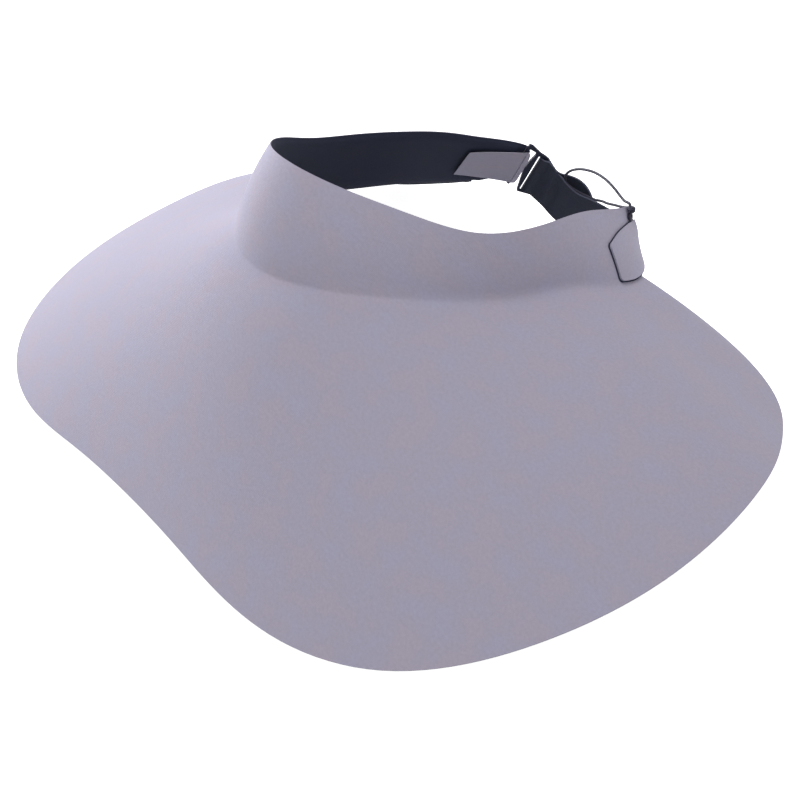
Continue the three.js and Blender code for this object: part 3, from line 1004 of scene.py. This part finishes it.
@dataclass(frozen=True)
class MouldedAcetal(Finish):
    """Moulded acetal, as slider buckles are: near black, satin, with a faint spark-eroded mould grain."""

    name: str = "moulded_acetal"
    color: str = "222639"
    roughness: float = 0.55
    uneven: float = 0.07
    ior: float = 1.48
    specular: float = 0.15
    grain: float = 0.25
    relief: float = 0.02

    def shader(self, tree: bpy.types.NodeTree) -> bpy.types.Node:
        """Builds the plastic's shader.

        Args:
            tree: The material's node tree.

        Returns:
            The shader's node.
        """
        place = add_node(tree, "ShaderNodeTexCoord").outputs["Object"]
        pits = {"Scale": 1 / (self.grain * MM), "Detail": 2.0}
        grain = add_node(tree, "ShaderNodeTexNoise", pits, {"Vector": place}).outputs["Fac"]
        spread = {"To Min": self.roughness - self.uneven, "To Max": self.roughness + self.uneven}
        rough = add_node(tree, "ShaderNodeMapRange", spread, {"Value": grain})
        depth = {"Strength": 1.0, "Distance": self.relief * MM}
        bump = add_node(tree, "ShaderNodeBump", depth, {"Height": grain})
        gloss = {"Base Color": linear(self.color), "IOR": self.ior, "Specular IOR Level": self.specular}
        sockets = {"Roughness": rough.outputs[0], "Normal": bump.outputs[0]}
        return add_node(tree, "ShaderNodeBsdfPrincipled", gloss, sockets)


@dataclass(frozen=True)
class OpalAcrylic(Finish):
    """The light table's matt opal acrylic: near white, and lit a little from below."""

    name: str
    glow: float
    color: str = "f4f4f5"
    roughness: float = 0.9

    def shader(self, tree: bpy.types.NodeTree) -> bpy.types.Node:
        """Builds the acrylic's shader.

        Args:
            tree: The material's node tree.

        Returns:
            The shader's node.
        """
        white = {
            "Base Color": linear(self.color),
            "Roughness": self.roughness,
            "Emission Color": WHITE,
            "Emission Strength": self.glow,
        }
        return add_node(tree, "ShaderNodeBsdfPrincipled", white)


@lru_cache(maxsize=None)
def resting_lift() -> float:
    """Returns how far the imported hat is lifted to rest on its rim, from where its knot lies."""
    low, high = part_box("cord_knot")
    return (low.z + high.z) / 2 / MM - float(StorageLoop(HatForm()).knot[2])


def lifted(points: np.ndarray) -> np.ndarray:
    """Returns points in metres, where the hat rests on its rim."""
    return (points + (0, 0, resting_lift())) * MM


@dataclass(frozen=True)
class Part:
    """What a piece of the hat stands for: a slot name and the frame's node."""

    slot: str
    node: str


def make_piece(
    name: str, shape: Shape, finishes: Sequence[bpy.types.Material], part: Part, bevel: float = 0
) -> bpy.types.Object:
    """Turns a shape into a piece of the hat.

    Args:
        name: The piece's name.
        shape: Its mesh in millimetres.
        finishes: Its materials, one for each finish number.
        part: The part, whose frame node the piece stands for and hides.
        bevel: The radius of its edges in millimetres, or 0.

    Returns:
        The piece's object.
    """
    mesh = bpy.data.meshes.new(name)
    mesh.from_pydata(lifted(shape.points).tolist(), [], shape.faces)
    mesh.polygons.foreach_set("use_smooth", [True] * len(mesh.polygons))
    mesh.polygons.foreach_set("material_index", shape.finish)
    grain = mesh.attributes.new(CLOTH, "FLOAT_VECTOR", "POINT")
    grain.data.foreach_set("vector", shape.cloth.ravel())
    mesh.update()
    for finish in finishes:
        mesh.materials.append(finish)
    piece = link(bpy.data.objects.new(name, mesh))
    if bevel:
        rounding = piece.modifiers.new("rounded edges", "BEVEL")
        rounding.limit_method = "ANGLE"
        rounding.angle_limit = math.radians(SHARP)
        rounding.width = bevel * MM
        rounding.segments = 2
        rounding.harden_normals = True
    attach(piece, BODY)
    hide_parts(part.node)
    LOG.info("%s: %d faces, stands for %s", name, len(shape.faces), part.node)
    return piece


@dataclass
class MouldedSheet:
    """The collar and brim with both arms: a lavender face on a black lining."""

    form: HatForm
    end: EndFrame
    brim_stations: int = 224
    crowding: float = 0.3
    arm_stations: int = 30
    turn_steps: int = 12
    tongue_steps: int = 34
    tongue_rows: tuple[float, float] = (0.4, 23.4)
    bar_depth: float = 2.75
    fold_radius: float = 1.7
    fold_share: float = 0.5
    fold_run: tuple[float, float] = (2.5, 7.0)
    closing: float = 0.7
    easing: float = 0.25
    tongue_crowding: float = 1.6
    tongue_end: tuple[float, float, float, float, float] = (127, 119.5, 0.27, 0.78, 4.3)
    face_depth: float = 1.2
    lining_depths: tuple[float, float] = (1.25, 2.5)
    skived_share: float = 0.3
    skived_width: float = 2.8
    rounding: float = 0.15
    unlined: int = 6
    bar_clear: int = 2

    def brim_angles(self) -> np.ndarray:
        """Returns the head angles of the stations, closer together where the brim runs out."""
        u = np.linspace(-1, 1, self.brim_stations + 1)
        return BRIM_END * ((1 + self.crowding) * u - self.crowding * u**3)

    def arm(self, side: Side, shares: np.ndarray) -> tuple[list, list]:
        """Draws one arm.

        Args:
            side: Left or right.
            shares: Its rows, as shares of the way down.

        Returns:
            Its columns of points and where they lay in the flat cloth.
        """
        end = self.form.ends[side]
        sunk = self.bar_depth - self.fold_radius if side is Side.RIGHT else 0.0
        columns, cloth = [], []
        for share in np.linspace(0, 1, self.arm_stations + 1):
            downs = [self.form.arm_down(side, down, share) for down in shares]
            inward = self.end.inward * sunk * smoothstep(share, self.closing, 1)
            columns.append([self.form.arm_face(side, down, share) + inward for down in downs])
            angles = [lerp(BRIM_END, lerp(end.top, end.foot, down), share) for down in downs]
            cloth.append([self.flat(side, angle, down) for angle, down in zip(angles, downs)])
        return columns, cloth

    def flat(self, side: Side, angle: float, down: float) -> tuple[float, float, float]:
        """Returns where a point of an arm lay in the flat cloth."""
        rise = np.linalg.norm(self.form.top(BRIM_END) - self.form.foot(BRIM_END))
        return self.form.flat(side.value * angle, -(1 - down) * rise)

    def tongue(self, shares: np.ndarray) -> tuple[list, list]:
        """Draws the right arm's end from the arm round the buckle's bar and back inside the arm.

        Args:
            shares: Its rows, as shares of the way down.

        Returns:
            Its columns of points and where they lay in the flat cloth.
        """
        form, arm = self.form, self.form.ends[Side.RIGHT]
        top_angle, foot_angle, top_share, foot_share, depth = self.tongue_end
        columns, cloth, wrapped = [], [], 0.0
        for part in np.linspace(0, 1, self.turn_steps + 1)[1:]:
            turn = part * math.pi
            wrapped = math.degrees(part * math.pi * self.fold_radius / form.foot_radius(BRIM_END))
            at = (self.fold_radius * math.sin(turn), self.bar_depth - self.fold_radius * math.cos(turn))
            columns.append([self.end.at(lerp(*self.tongue_rows, down), *at) for down in shares])
            starts = [lerp(arm.top, arm.foot, down) for down in shares]
            cloth.append([self.flat(Side.RIGHT, at + wrapped, down) for at, down in zip(starts, shares)])
        for part in np.linspace(0, 1, self.tongue_steps + 1)[1:]:
            share = part**self.tongue_crowding
            eased = lerp(self.bar_depth + self.fold_radius, depth, smoothstep(share, 0, self.easing))
            column, laid = [], []
            for down in shares:
                turned = lerp(*self.tongue_rows, down) / self.end.length
                at = lerp(turned, lerp(top_share, foot_share, down), share)
                start = lerp(arm.top, arm.foot, at)
                angle = lerp(start, lerp(top_angle, foot_angle, down), share)
                column.append(form.inside(Side.RIGHT, angle, at, eased))
                laid.append(self.flat(Side.RIGHT, 2 * start - angle + wrapped, down))
            columns.append(column)
            cloth.append(laid)
        return columns, cloth

    def surface(self) -> Surface:
        """Welds the brim and both arms to one surface.

        Returns:
            The outer face of the whole moulded sheet.
        """
        form = self.form
        made = Surface()
        rows, collar_rows = form.section(0)
        shares = form.arm_shares()
        left, left_cloth = self.arm(Side.LEFT, shares)
        right, right_cloth = self.arm(Side.RIGHT, shares)
        columns, cloth = [], []
        last = self.brim_stations
        for i, angle in enumerate(self.brim_angles()):
            if i in (0, last):
                arm, laid = (right, right_cloth) if i == 0 else (left, left_cloth)
                order = [min(j, collar_rows - 1) for j in range(len(rows))]
                columns.append([arm[0][j] for j in order])
                cloth.append([laid[0][j] for j in order])
                continue
            points, _ = form.section(angle)
            rise = np.linalg.norm(form.top(angle) - form.foot(angle))
            columns.append(form.place(angle, points))
            cloth.append([form.flat(angle, fall - rise) for fall in lengths(points)])
        joints: dict[tuple[int, int], int] = {}

        def run_out(i: int, j: int) -> Optional[int]:
            """Welds the brim's rows to the arm's foot where the brim runs out.

            Args:
                i: The station.
                j: The row.

            Returns:
                The number of the point that is there already, or None.
            """
            if i not in (0, last):
                return None
            key = (i, min(j, collar_rows - 1))
            if key in joints:
                return joints[key]
            joints[key] = len(made.points)
            return None

        made.add_grid("brim", columns, cloth, run_out)
        made.add_grid("left arm", left, left_cloth, lambda i, j: joints[(last, j)] if i == 0 else None)
        tongue, tongue_cloth = self.tongue(shares)
        back, back_cloth = [*right, *tongue][::-1], [*right_cloth, *tongue_cloth][::-1]
        end = len(back) - 1
        made.add_grid("right arm", back, back_cloth, lambda i, j: joints[(0, j)] if i == end else None)
        return made

    def lined(self, part: str, station: int, row: int) -> bool:
        """Says whether the lining covers a cell: all but the brim's run-out and the turned end.

        Args:
            part: The cell's grid.
            station: Its station.
            row: Its row.

        Returns:
            Whether it does.
        """
        _, collar_rows = self.form.section(0)
        if part == "brim":
            near_end = station < self.unlined or station >= self.brim_stations - self.unlined
            return not (near_end and row >= collar_rows - 1)
        if part == "left arm":
            return True
        return station > self.tongue_steps + self.turn_steps + self.bar_clear

    def build(self) -> list[bpy.types.Object]:
        """Builds the face and the lining.

        Returns:
            Both pieces.
        """
        surface = self.surface()
        from_bar = np.array(surface.points) - self.end.at(0, 0, self.bar_depth)
        from_bar = from_bar @ np.column_stack([self.end.along, self.end.inward])
        folded = smoothstep(np.linalg.norm(from_bar, axis=1), *self.fold_run)
        thinned = surface.skive(self.skived_share, self.skived_width) * lerp(self.fold_share, 1, folded)
        # The cut edges' paler finish is partly the foam's own tone and partly a painted highlight along
        # the rounded edge.
        face, edge = BrushedPolyesterKnit().material(), CutEdgeWithPaintedHighlight().material()
        lining = LiningJersey().material()
        sheet = surface.sheet(0, self.face_depth, thinned=thinned)
        skin = surface.sheet(*self.lining_depths, self.lined, thinned)
        for shape in (sheet, skin):
            shape.points[:, 2] = np.maximum(shape.points[:, 2], -resting_lift())
        shell, inner = Part("laminate", "shell"), Part("lining_knit", "lining")
        return [
            make_piece("hat_face", sheet, [face, face, edge], shell, self.rounding),
            make_piece("hat_lining", skin, [lining] * 3, inner, self.rounding),
        ]


@dataclass
class Strap:
    """The elastic strap from inside the left arm round the back, through the buckle and doubled back."""

    form: HatForm
    end: EndFrame
    thickness: float = 1.2
    width: float = 24.6
    middle: float = 14.6
    turn_radius: float = 2.75
    lead: float = 2.5
    lean: float = 0.9
    depth: float = 5.0
    last_bar: float = 11.5
    bar_depth: float = 2.75
    rounding: float = 17.0
    tip_width: float = 0.25
    around_steps: int = 200
    turn_steps: int = 14
    free_steps: int = 60
    rows: int = 20
    crease_top: float = 138.0
    crease_foot: float = 139.5
    crease_height: float = 2.0
    crease_width: float = 1.7
    groove_place: float = 2.0
    groove_share: float = 0.5
    selvedge: float = 0.35

    def edge(self, k: int, along: float, inward: float) -> np.ndarray:
        """Returns a point of the strap's top (0) or bottom (1) edge at the buckle."""
        down = self.middle + (2 * k - 1) * self.width / 2
        return self.end.at(down, along, inward)

    def table_edge(self, table: Table, k: int) -> list[np.ndarray]:
        """Returns the points of one edge from a table of the strap's rows."""
        rows = [row[3 * k : 3 * k + 3] for row in table]
        return [self.form.place(angle, np.array([radius, height])) for angle, radius, height in rows]

    def columns(self) -> np.ndarray:
        """Returns the strap's inner face as stations of points from its top edge to its bottom edge."""
        across = np.linspace(0, 1, self.rows + 1)[:, None]
        reach = self.last_bar + self.lead
        around, free = [], []
        for k in (0, 1):
            in_arm = [self.form.inside(Side.LEFT, row[0], row[1 + k], self.depth) for row in STRAP_IN_ARM]
            last = self.edge(k, reach, self.bar_depth + self.turn_radius)
            points = np.array([*in_arm, *self.table_edge(STRAP_AROUND, k), last])
            around.append(cord_points(points, np.linspace(0, 1, self.around_steps + 1)))
            first = self.edge(k, reach, self.bar_depth - self.turn_radius + self.lean)
            points = np.array([first, *self.table_edge(STRAP_FREE_END, k)])
            free.append(cord_points(points, np.linspace(0, 1, self.free_steps + 1)))
        stations = list(zip(*around))
        for turn in np.linspace(0, math.pi, self.turn_steps + 1):
            along = self.last_bar - self.turn_radius * math.sin(turn)
            inward = self.bar_depth + self.turn_radius * math.cos(turn)
            stations.append((self.edge(0, along, inward), self.edge(1, along, inward)))
        made = [top + across * (bottom - top) for top, bottom in stations]
        tip = (free[0][-1] + free[1][-1]) / 2
        for top, bottom in zip(*free):
            middle = (top + bottom) / 2
            short = max(1 - np.linalg.norm(middle - tip) / self.rounding, 0)
            share = max(math.sqrt(1 - short * short), self.tip_width)
            made.append(middle + (top + across * (bottom - top) - middle) * share)
        return np.array(made)

    def creased(self, columns: np.ndarray, along: np.ndarray) -> np.ndarray:
        """Raises the soft ridge that crosses the strap where it bends up to the buckle.

        Args:
            columns: The strap's inner face.
            along: How far along the strap each station lies.

        Returns:
            The inner face with the ridge, which fades to nothing at both edges.
        """
        share = np.linspace(0, 1, self.rows + 1)
        line = lerp(self.crease_top, self.crease_foot, share)
        off = (along[:, None] - line) / self.crease_width
        groove = self.groove_share * np.exp(-((off + self.groove_place) ** 2) / 2)
        ridge = self.crease_height * np.sqrt(np.sin(math.pi * share)) * (np.exp(-(off**2) / 2) - groove)
        to_axis = -columns * (1, 1, 0)
        to_axis /= np.linalg.norm(to_axis, axis=2, keepdims=True)
        return columns + to_axis * ridge[..., None]

    def build(self) -> bpy.types.Object:
        """Builds the strap."""
        columns = self.columns()
        along = lengths(columns[:, self.rows // 2])
        cloth = [[(v, u, 0) for v in np.linspace(0, self.width, self.rows + 1)] for u in along]
        surface = Surface()
        surface.add_grid("strap", self.creased(columns, along), cloth)
        webbing, selvedge = KnittedElasticWebbing().material(), WebbingSelvedge().material()
        finishes = [webbing, webbing, selvedge]
        part = Part("webbing", "strap")
        return make_piece("back_strap", surface.sheet(-self.thickness, 0), finishes, part, self.selvedge)


@dataclass
class SliderBuckle:
    """The moulded slider of three bars in the right arm's end."""

    end: EndFrame
    thickness: float = 1.5
    bar_depth: float = 2.75
    corner: float = 0.5
    corner_share: float = 0.45
    corner_steps: int = 4
    rounding: float = 0.3

    def rounded(self, rows: Table) -> list[tuple[float, float]]:
        """Rounds an outline's corners.

        Args:
            rows: The outline's corners.

        Returns:
            The outline with a short arc at each corner.
        """
        corners = np.array(rows, float)
        made = []
        for i, corner in enumerate(corners):
            before, after = corners[i - 1] - corner, corners[(i + 1) % len(corners)] - corner
            reach = min(self.corner, *(self.corner_share * np.linalg.norm(v) for v in (before, after)))
            start, end = corner + unit(before) * reach, corner + unit(after) * reach
            for t in np.linspace(0, 1, self.corner_steps + 1):
                point = (1 - t) ** 2 * start + 2 * t * (1 - t) * corner + t**2 * end
                made.append((float(point[0]), float(point[1])))
        return made

    def build(self) -> bpy.types.Object:
        """Builds the buckle: a plate with a slot cut through it, filled with triangles on both sides.

        Returns:
            The piece.
        """
        rounded = [self.rounded(rows)[::-1] for rows in (BUCKLE_OUTLINE, BUCKLE_SLOT)]
        rings = [[(x, -down, 0) for x, down in ring] for ring in rounded]
        outline = np.array([point for ring in rings for point in ring])
        count = len(outline)
        faces: list[tuple[int, ...]] = []
        for triangle in tessellate_polygon([[Vector(point) for point in ring] for ring in rings]):
            a, b, c = outline[list(triangle)]
            turned = triangle if np.cross(b - a, c - a)[2] > 0 else triangle[::-1]
            faces += [tuple(k + count for k in turned), turned[::-1]]
        first = 0
        for ring in rings:
            numbers = range(first, first + len(ring))
            faces += [(p, q, q + count, p + count) for p, q in zip(numbers, [*numbers[1:], first])]
            first += len(ring)
        half = np.array([0, 0, self.thickness / 2])
        local = np.vstack([outline - half, outline + half])
        axes = np.array([self.end.along, self.end.up, self.end.inward])
        shape = Shape(self.end.at(0, 0, self.bar_depth) + local @ axes, faces, [0] * len(faces), local)
        part = Part("moulded_plastic", "buckle")
        return make_piece("slider_buckle", shape, [MouldedAcetal().material()], part, self.rounding)


@dataclass
class ArmTab:
    """The tab on the left arm: a lavender face on a black backing that shows as its edge."""

    form: HatForm
    depths: tuple[float, float, float] = (-0.1, -0.6, -1.6)
    border: float = 0.6
    length: float = 36.0
    front_corner: float = 1.8
    back_corner: float = 1.0
    lift_off: float = 1.4
    corner_steps: int = 6
    along_steps: int = 30
    across_steps: int = 36
    rounding: float = 0.25

    def stations(self, reach: float) -> np.ndarray:
        """Spaces the tab's columns, closer together round the corners.

        Args:
            reach: The layer's length.

        Returns:
            How far along the tab each column lies.
        """
        arc = 1 - np.cos(np.linspace(0, math.pi / 2, self.corner_steps + 1))
        straight = np.linspace(self.front_corner, reach - self.back_corner, self.along_steps + 1)[1:-1]
        return np.concatenate([self.front_corner * arc, straight, (reach - self.back_corner * arc)[::-1]])

    def corner_cut(self, along: float, reach: float) -> float:
        """Rounds the corners by drawing in the ends of a column.

        Args:
            along: How far along the tab the column lies.
            reach: The layer's length.

        Returns:
            How far its ends are drawn in.
        """
        cut = 0.0
        for radius, left in ((self.front_corner, along), (self.back_corner, reach - along)):
            short = max(radius - left, 0.0)
            cut = max(cut, radius - math.sqrt(max(radius * radius - short * short, 0.0)))
        return cut

    def columns(self, border: float) -> tuple[list, list]:
        """Fills the tab's outline with points of the arm's outer face.

        Args:
            border: How far the layer's edges lie inside the tab's outline.

        Returns:
            Its columns of points and their places in the flat cloth.
        """
        reach = self.length - 2 * border
        along = self.stations(reach)
        table = np.column_stack([np.arange(len(TAB)) * self.length / (len(TAB) - 1), np.array(TAB, float)])
        edges = cord_points(table, (along + border) / self.length)[:, 1:]
        columns, cloth = [], []
        for at, (top_angle, top_down, foot_angle, foot_down) in zip(along, edges):
            top = self.form.face_point(Side.LEFT, top_angle, top_down)
            foot = self.form.face_point(Side.LEFT, foot_angle, foot_down)
            height = float(np.linalg.norm(foot - top))
            inset = (border + self.corner_cut(at, reach)) / height
            column, laid = [], []
            off = -self.lift_off * ((at + border) / self.length) ** 3
            for down in np.linspace(inset, 1 - inset, self.across_steps + 1):
                angle = lerp(top_angle, foot_angle, down)
                on_tab = lerp(top_down, foot_down, down)
                column.append(self.form.inside(Side.LEFT, angle, on_tab, off * 4 * down * (1 - down)))
                laid.append((at, height * down, 0))
            columns.append(column)
            cloth.append(laid)
        return columns, cloth

    def build(self) -> list[bpy.types.Object]:
        """Builds the tab's two layers."""
        face, backing = BrushedPolyesterKnit().material(), LiningJersey().material()
        inner, middle, outer = self.depths
        layers = (
            ("tab_backing", 0.0, middle, inner, backing),
            ("tab_face", self.border, outer, middle, face),
        )
        made = []
        for name, border, near, far, finish in layers:
            surface = Surface()
            surface.add_grid("tab", *self.columns(border))
            part = Part("tab_laminate", "arm_tab")
            made.append(make_piece(name, surface.sheet(near, far), [finish] * 3, part, self.rounding))
        return made


@dataclass
class StorageLoop:
    """The thin elastic loop with its knot and the thread eyelet that it is knotted to."""

    form: HatForm
    angle: float = 138.2
    gap: float = 0.3
    eyelet_radius: float = 1.5
    wire: float = 1.2
    bound_wire: float = 1.7
    above: float = 0.6
    clear: float = 0.45
    knot_radius: float = 1.9
    knot_size: float = 0.52
    knot_depth: float = 1.4
    diameter: float = 1.5
    steps: int = 320
    sides: int = 12

    def __post_init__(self) -> None:
        """Finds the eyelet's and the knot's places above the tab's top edge."""
        reach = self.eyelet_radius + self.wire / 2
        rise = np.linalg.norm(self.form.top(self.angle) - self.form.foot(self.angle))
        self.eyelet_down = TAB[-1][1] - (reach + self.above) / rise
        knot_down = self.eyelet_down - (reach + self.gap + self.knot_radius) / rise
        self.eyelet = self.on_arm(self.eyelet_down, -self.clear - self.wire / 2)
        self.knot = self.on_arm(knot_down, -self.gap - self.knot_radius)

    def on_arm(self, down: float, depth: float) -> np.ndarray:
        """Returns a point on the left arm at the eyelet's head angle."""
        return self.form.inside(Side.LEFT, self.angle, down, depth)

    def route(self) -> np.ndarray:
        """Returns the points down the loop's middle."""
        points = [np.array(point, float) for point in CORD_ROUTE]
        clear = self.knot_radius + self.gap
        first, last = (self.knot + unit(point - self.knot) * clear for point in (points[0], points[-1]))
        return cord_points(np.array([first, *points, last]), np.linspace(0, 1, self.steps + 1))

    def build(self) -> list[bpy.types.Object]:
        """Builds the loop, its knot and the eyelet, all of the same elastic."""
        elastic = [BraidedElastic().material()]
        return [self.build_loop(elastic), self.build_knot(elastic), self.build_eyelet(elastic)]

    def build_loop(self, finishes: list[bpy.types.Material]) -> bpy.types.Object:
        """Builds the loop and says what it is.

        Args:
            finishes: The elastic's material, in a list.

        Returns:
            The piece.
        """
        path = self.route()
        shape = tube(path, self.diameter / 2, self.sides)
        loop = make_piece("storage_loop", shape, finishes, Part("elastic_cord", "loop_cord"))
        placed = lifted(path)
        length = float(lengths(placed)[-1])
        LOG.info("storage_loop: %.1f mm long", length / MM)
        return loop

    def build_knot(self, finishes: list[bpy.types.Material]) -> bpy.types.Object:
        """Builds the knot as one strand drawn round itself, a trefoil.

        Args:
            finishes: The elastic's material, in a list.

        Returns:
            The piece.
        """
        t = np.linspace(0, 2 * math.pi, 8 * self.sides, endpoint=False)
        flat = np.column_stack([np.sin(t) + 2 * np.sin(2 * t), np.cos(t) - 2 * np.cos(2 * t)])
        local = self.knot_size * np.column_stack([flat, -self.knot_depth * np.sin(3 * t)])
        shape = tube(self.knot + local, self.diameter / 2, self.sides, closed=True)
        return make_piece("loop_knot", shape, finishes, Part("elastic_cord", "cord_knot"))

    def build_eyelet(self, finishes: list[bpy.types.Material]) -> bpy.types.Object:
        """Builds the bound thread eyelet that stands out from the arm.

        Args:
            finishes: The elastic's material, in a list.

        Returns:
            The piece.
        """
        out = unit(self.eyelet - self.on_arm(self.eyelet_down, 0))
        side = unit(np.cross((0, 0, 1), out))
        up = np.cross(out, side)
        t = np.linspace(0, 2 * math.pi, 4 * self.sides, endpoint=False)[:, None]
        path = self.eyelet + self.eyelet_radius * (np.cos(t) * side + np.sin(t) * up)
        shape = tube(path, self.bound_wire / 2, self.sides, closed=True)
        return make_piece("tab_eyelet", shape, finishes, Part("elastic_cord", "cord_eyelet"))


@dataclass(frozen=True)
class SoftLight:
    """A round softbox that shines at the hat from a direction."""

    name: str
    azimuth: float
    elevation: float
    power: float
    color: tuple[float, float, float]
    size: float = 1.6
    distance: float = 2.4

    def hang(self) -> None:
        """Hangs the softbox, where azimuth is a head angle."""
        turn, rise = math.radians(self.azimuth), math.radians(self.elevation)
        level = math.cos(rise)
        way = Vector((math.sin(turn) * level, -math.cos(turn) * level, math.sin(rise)))
        data = bpy.data.lights.new(self.name, "AREA")
        data.shape, data.size, data.energy, data.color = "DISK", self.size, self.power, self.color
        light = link(bpy.data.objects.new(self.name, data))
        light.location = way * self.distance
        light.rotation_mode = "QUATERNION"
        light.rotation_quaternion = (-way).to_track_quat("-Z", "Y")


@dataclass
class Studio:
    """The plain pale floor, the soft light and the camera."""

    camera_place: tuple[float, float, float] = (754.997, -462.518, 578.480)
    camera_target: tuple[float, float, float] = (97.617, -107.937, 60.0)
    camera_roll: float = -9.977
    lens: float = 90.0
    sensor: float = 36.0
    clip: tuple[float, float] = (0.01, 50.0)
    floor_size: float = 12.0
    floor_height: float = -0.3
    seen_height: float = -0.25
    floor_glow: float = 0.18
    seen_glow: float = 0.95
    sky: float = 0.515
    lights: tuple[SoftLight, ...] = (
        SoftLight("side_softbox", 270, 12, 61.2, (0.985, 0.99, 1.025)),
        SoftLight("overhead_softbox", 0, 90, 28.4, (1.01, 0.997, 0.99)),
    )

    def place_camera(self) -> None:
        """Stands the camera where the photograph was taken from."""
        data = bpy.data.cameras.new("camera")
        data.lens, data.sensor_width = self.lens, self.sensor
        data.clip_start, data.clip_end = self.clip
        camera = link(bpy.data.objects.new("camera", data))
        place, target = Vector(self.camera_place) * MM, Vector(self.camera_target) * MM
        level = (target - place).to_track_quat("-Z", "Y").to_matrix().to_4x4()
        roll = Matrix.Rotation(math.radians(self.camera_roll), 4, "Z")
        camera.matrix_world = Matrix.Translation(place) @ level @ roll
        bpy.context.scene.camera = camera

    def lay_sheet(self, name: str, height: float, glow: float) -> bpy.types.Object:
        """Lays a flat sheet of the light table.

        Args:
            name: The sheet's name.
            height: Its height in millimetres.
            glow: How strongly it is lit from below.

        Returns:
            The sheet.
        """
        half = self.floor_size / 2
        mesh = bpy.data.meshes.new(name)
        corners = [(x * half, y * half, 0) for x, y in ((-1, -1), (1, -1), (1, 1), (-1, 1))]
        mesh.from_pydata(corners, [], [(0, 1, 2, 3)])
        mesh.materials.append(OpalAcrylic(f"opal_acrylic_{name}", glow).material())
        sheet = link(bpy.data.objects.new(name, mesh))
        sheet.location.z = height * MM
        sheet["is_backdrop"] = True
        return sheet

    def lay_floor(self) -> None:
        """Lays the floor just under the hat's rim: one sheet lights the hat, the other is seen."""
        floor = self.lay_sheet("floor", self.floor_height, self.floor_glow)
        floor.visible_camera = False
        seen = self.lay_sheet("floor_seen", self.seen_height, self.seen_glow)
        seen.visible_diffuse = seen.visible_glossy = seen.visible_transmission = False
        seen.visible_volume_scatter = seen.visible_shadow = False

    def light(self) -> None:
        """Hangs the softboxes and fills the rest with an even white sky."""
        scene = bpy.context.scene
        scene.view_settings.view_transform = "Standard"
        world = bpy.data.worlds.new("studio")
        world.use_nodes = True
        sky = world.node_tree.nodes["Background"]
        sky.inputs["Color"].default_value = WHITE
        sky.inputs["Strength"].default_value = self.sky
        scene.world = world
        for soft in self.lights:
            soft.hang()


def main() -> None:
    """Builds the camera, the hat from the loop to the moulded sheet, and the studio."""
    logging.basicConfig(level=logging.INFO, format="%(name)s: %(message)s")
    studio = Studio()
    studio.place_camera()
    LOG.info("the hat is lifted by %.4f mm", resting_lift())
    form = HatForm()
    end = EndFrame(form)
    for sub_assembly in (
        StorageLoop(form),
        MouldedSheet(form, end),
        Strap(form, end),
        SliderBuckle(end),
        ArmTab(form),
    ):
        sub_assembly.build()
    studio.lay_floor()
    studio.light()
    boxes = {"cad": CAD_BOX, "visual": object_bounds()}
    {name: [list(corner) for corner in box] for name, box in boxes.items()}


if __name__ == "__main__":
    main()
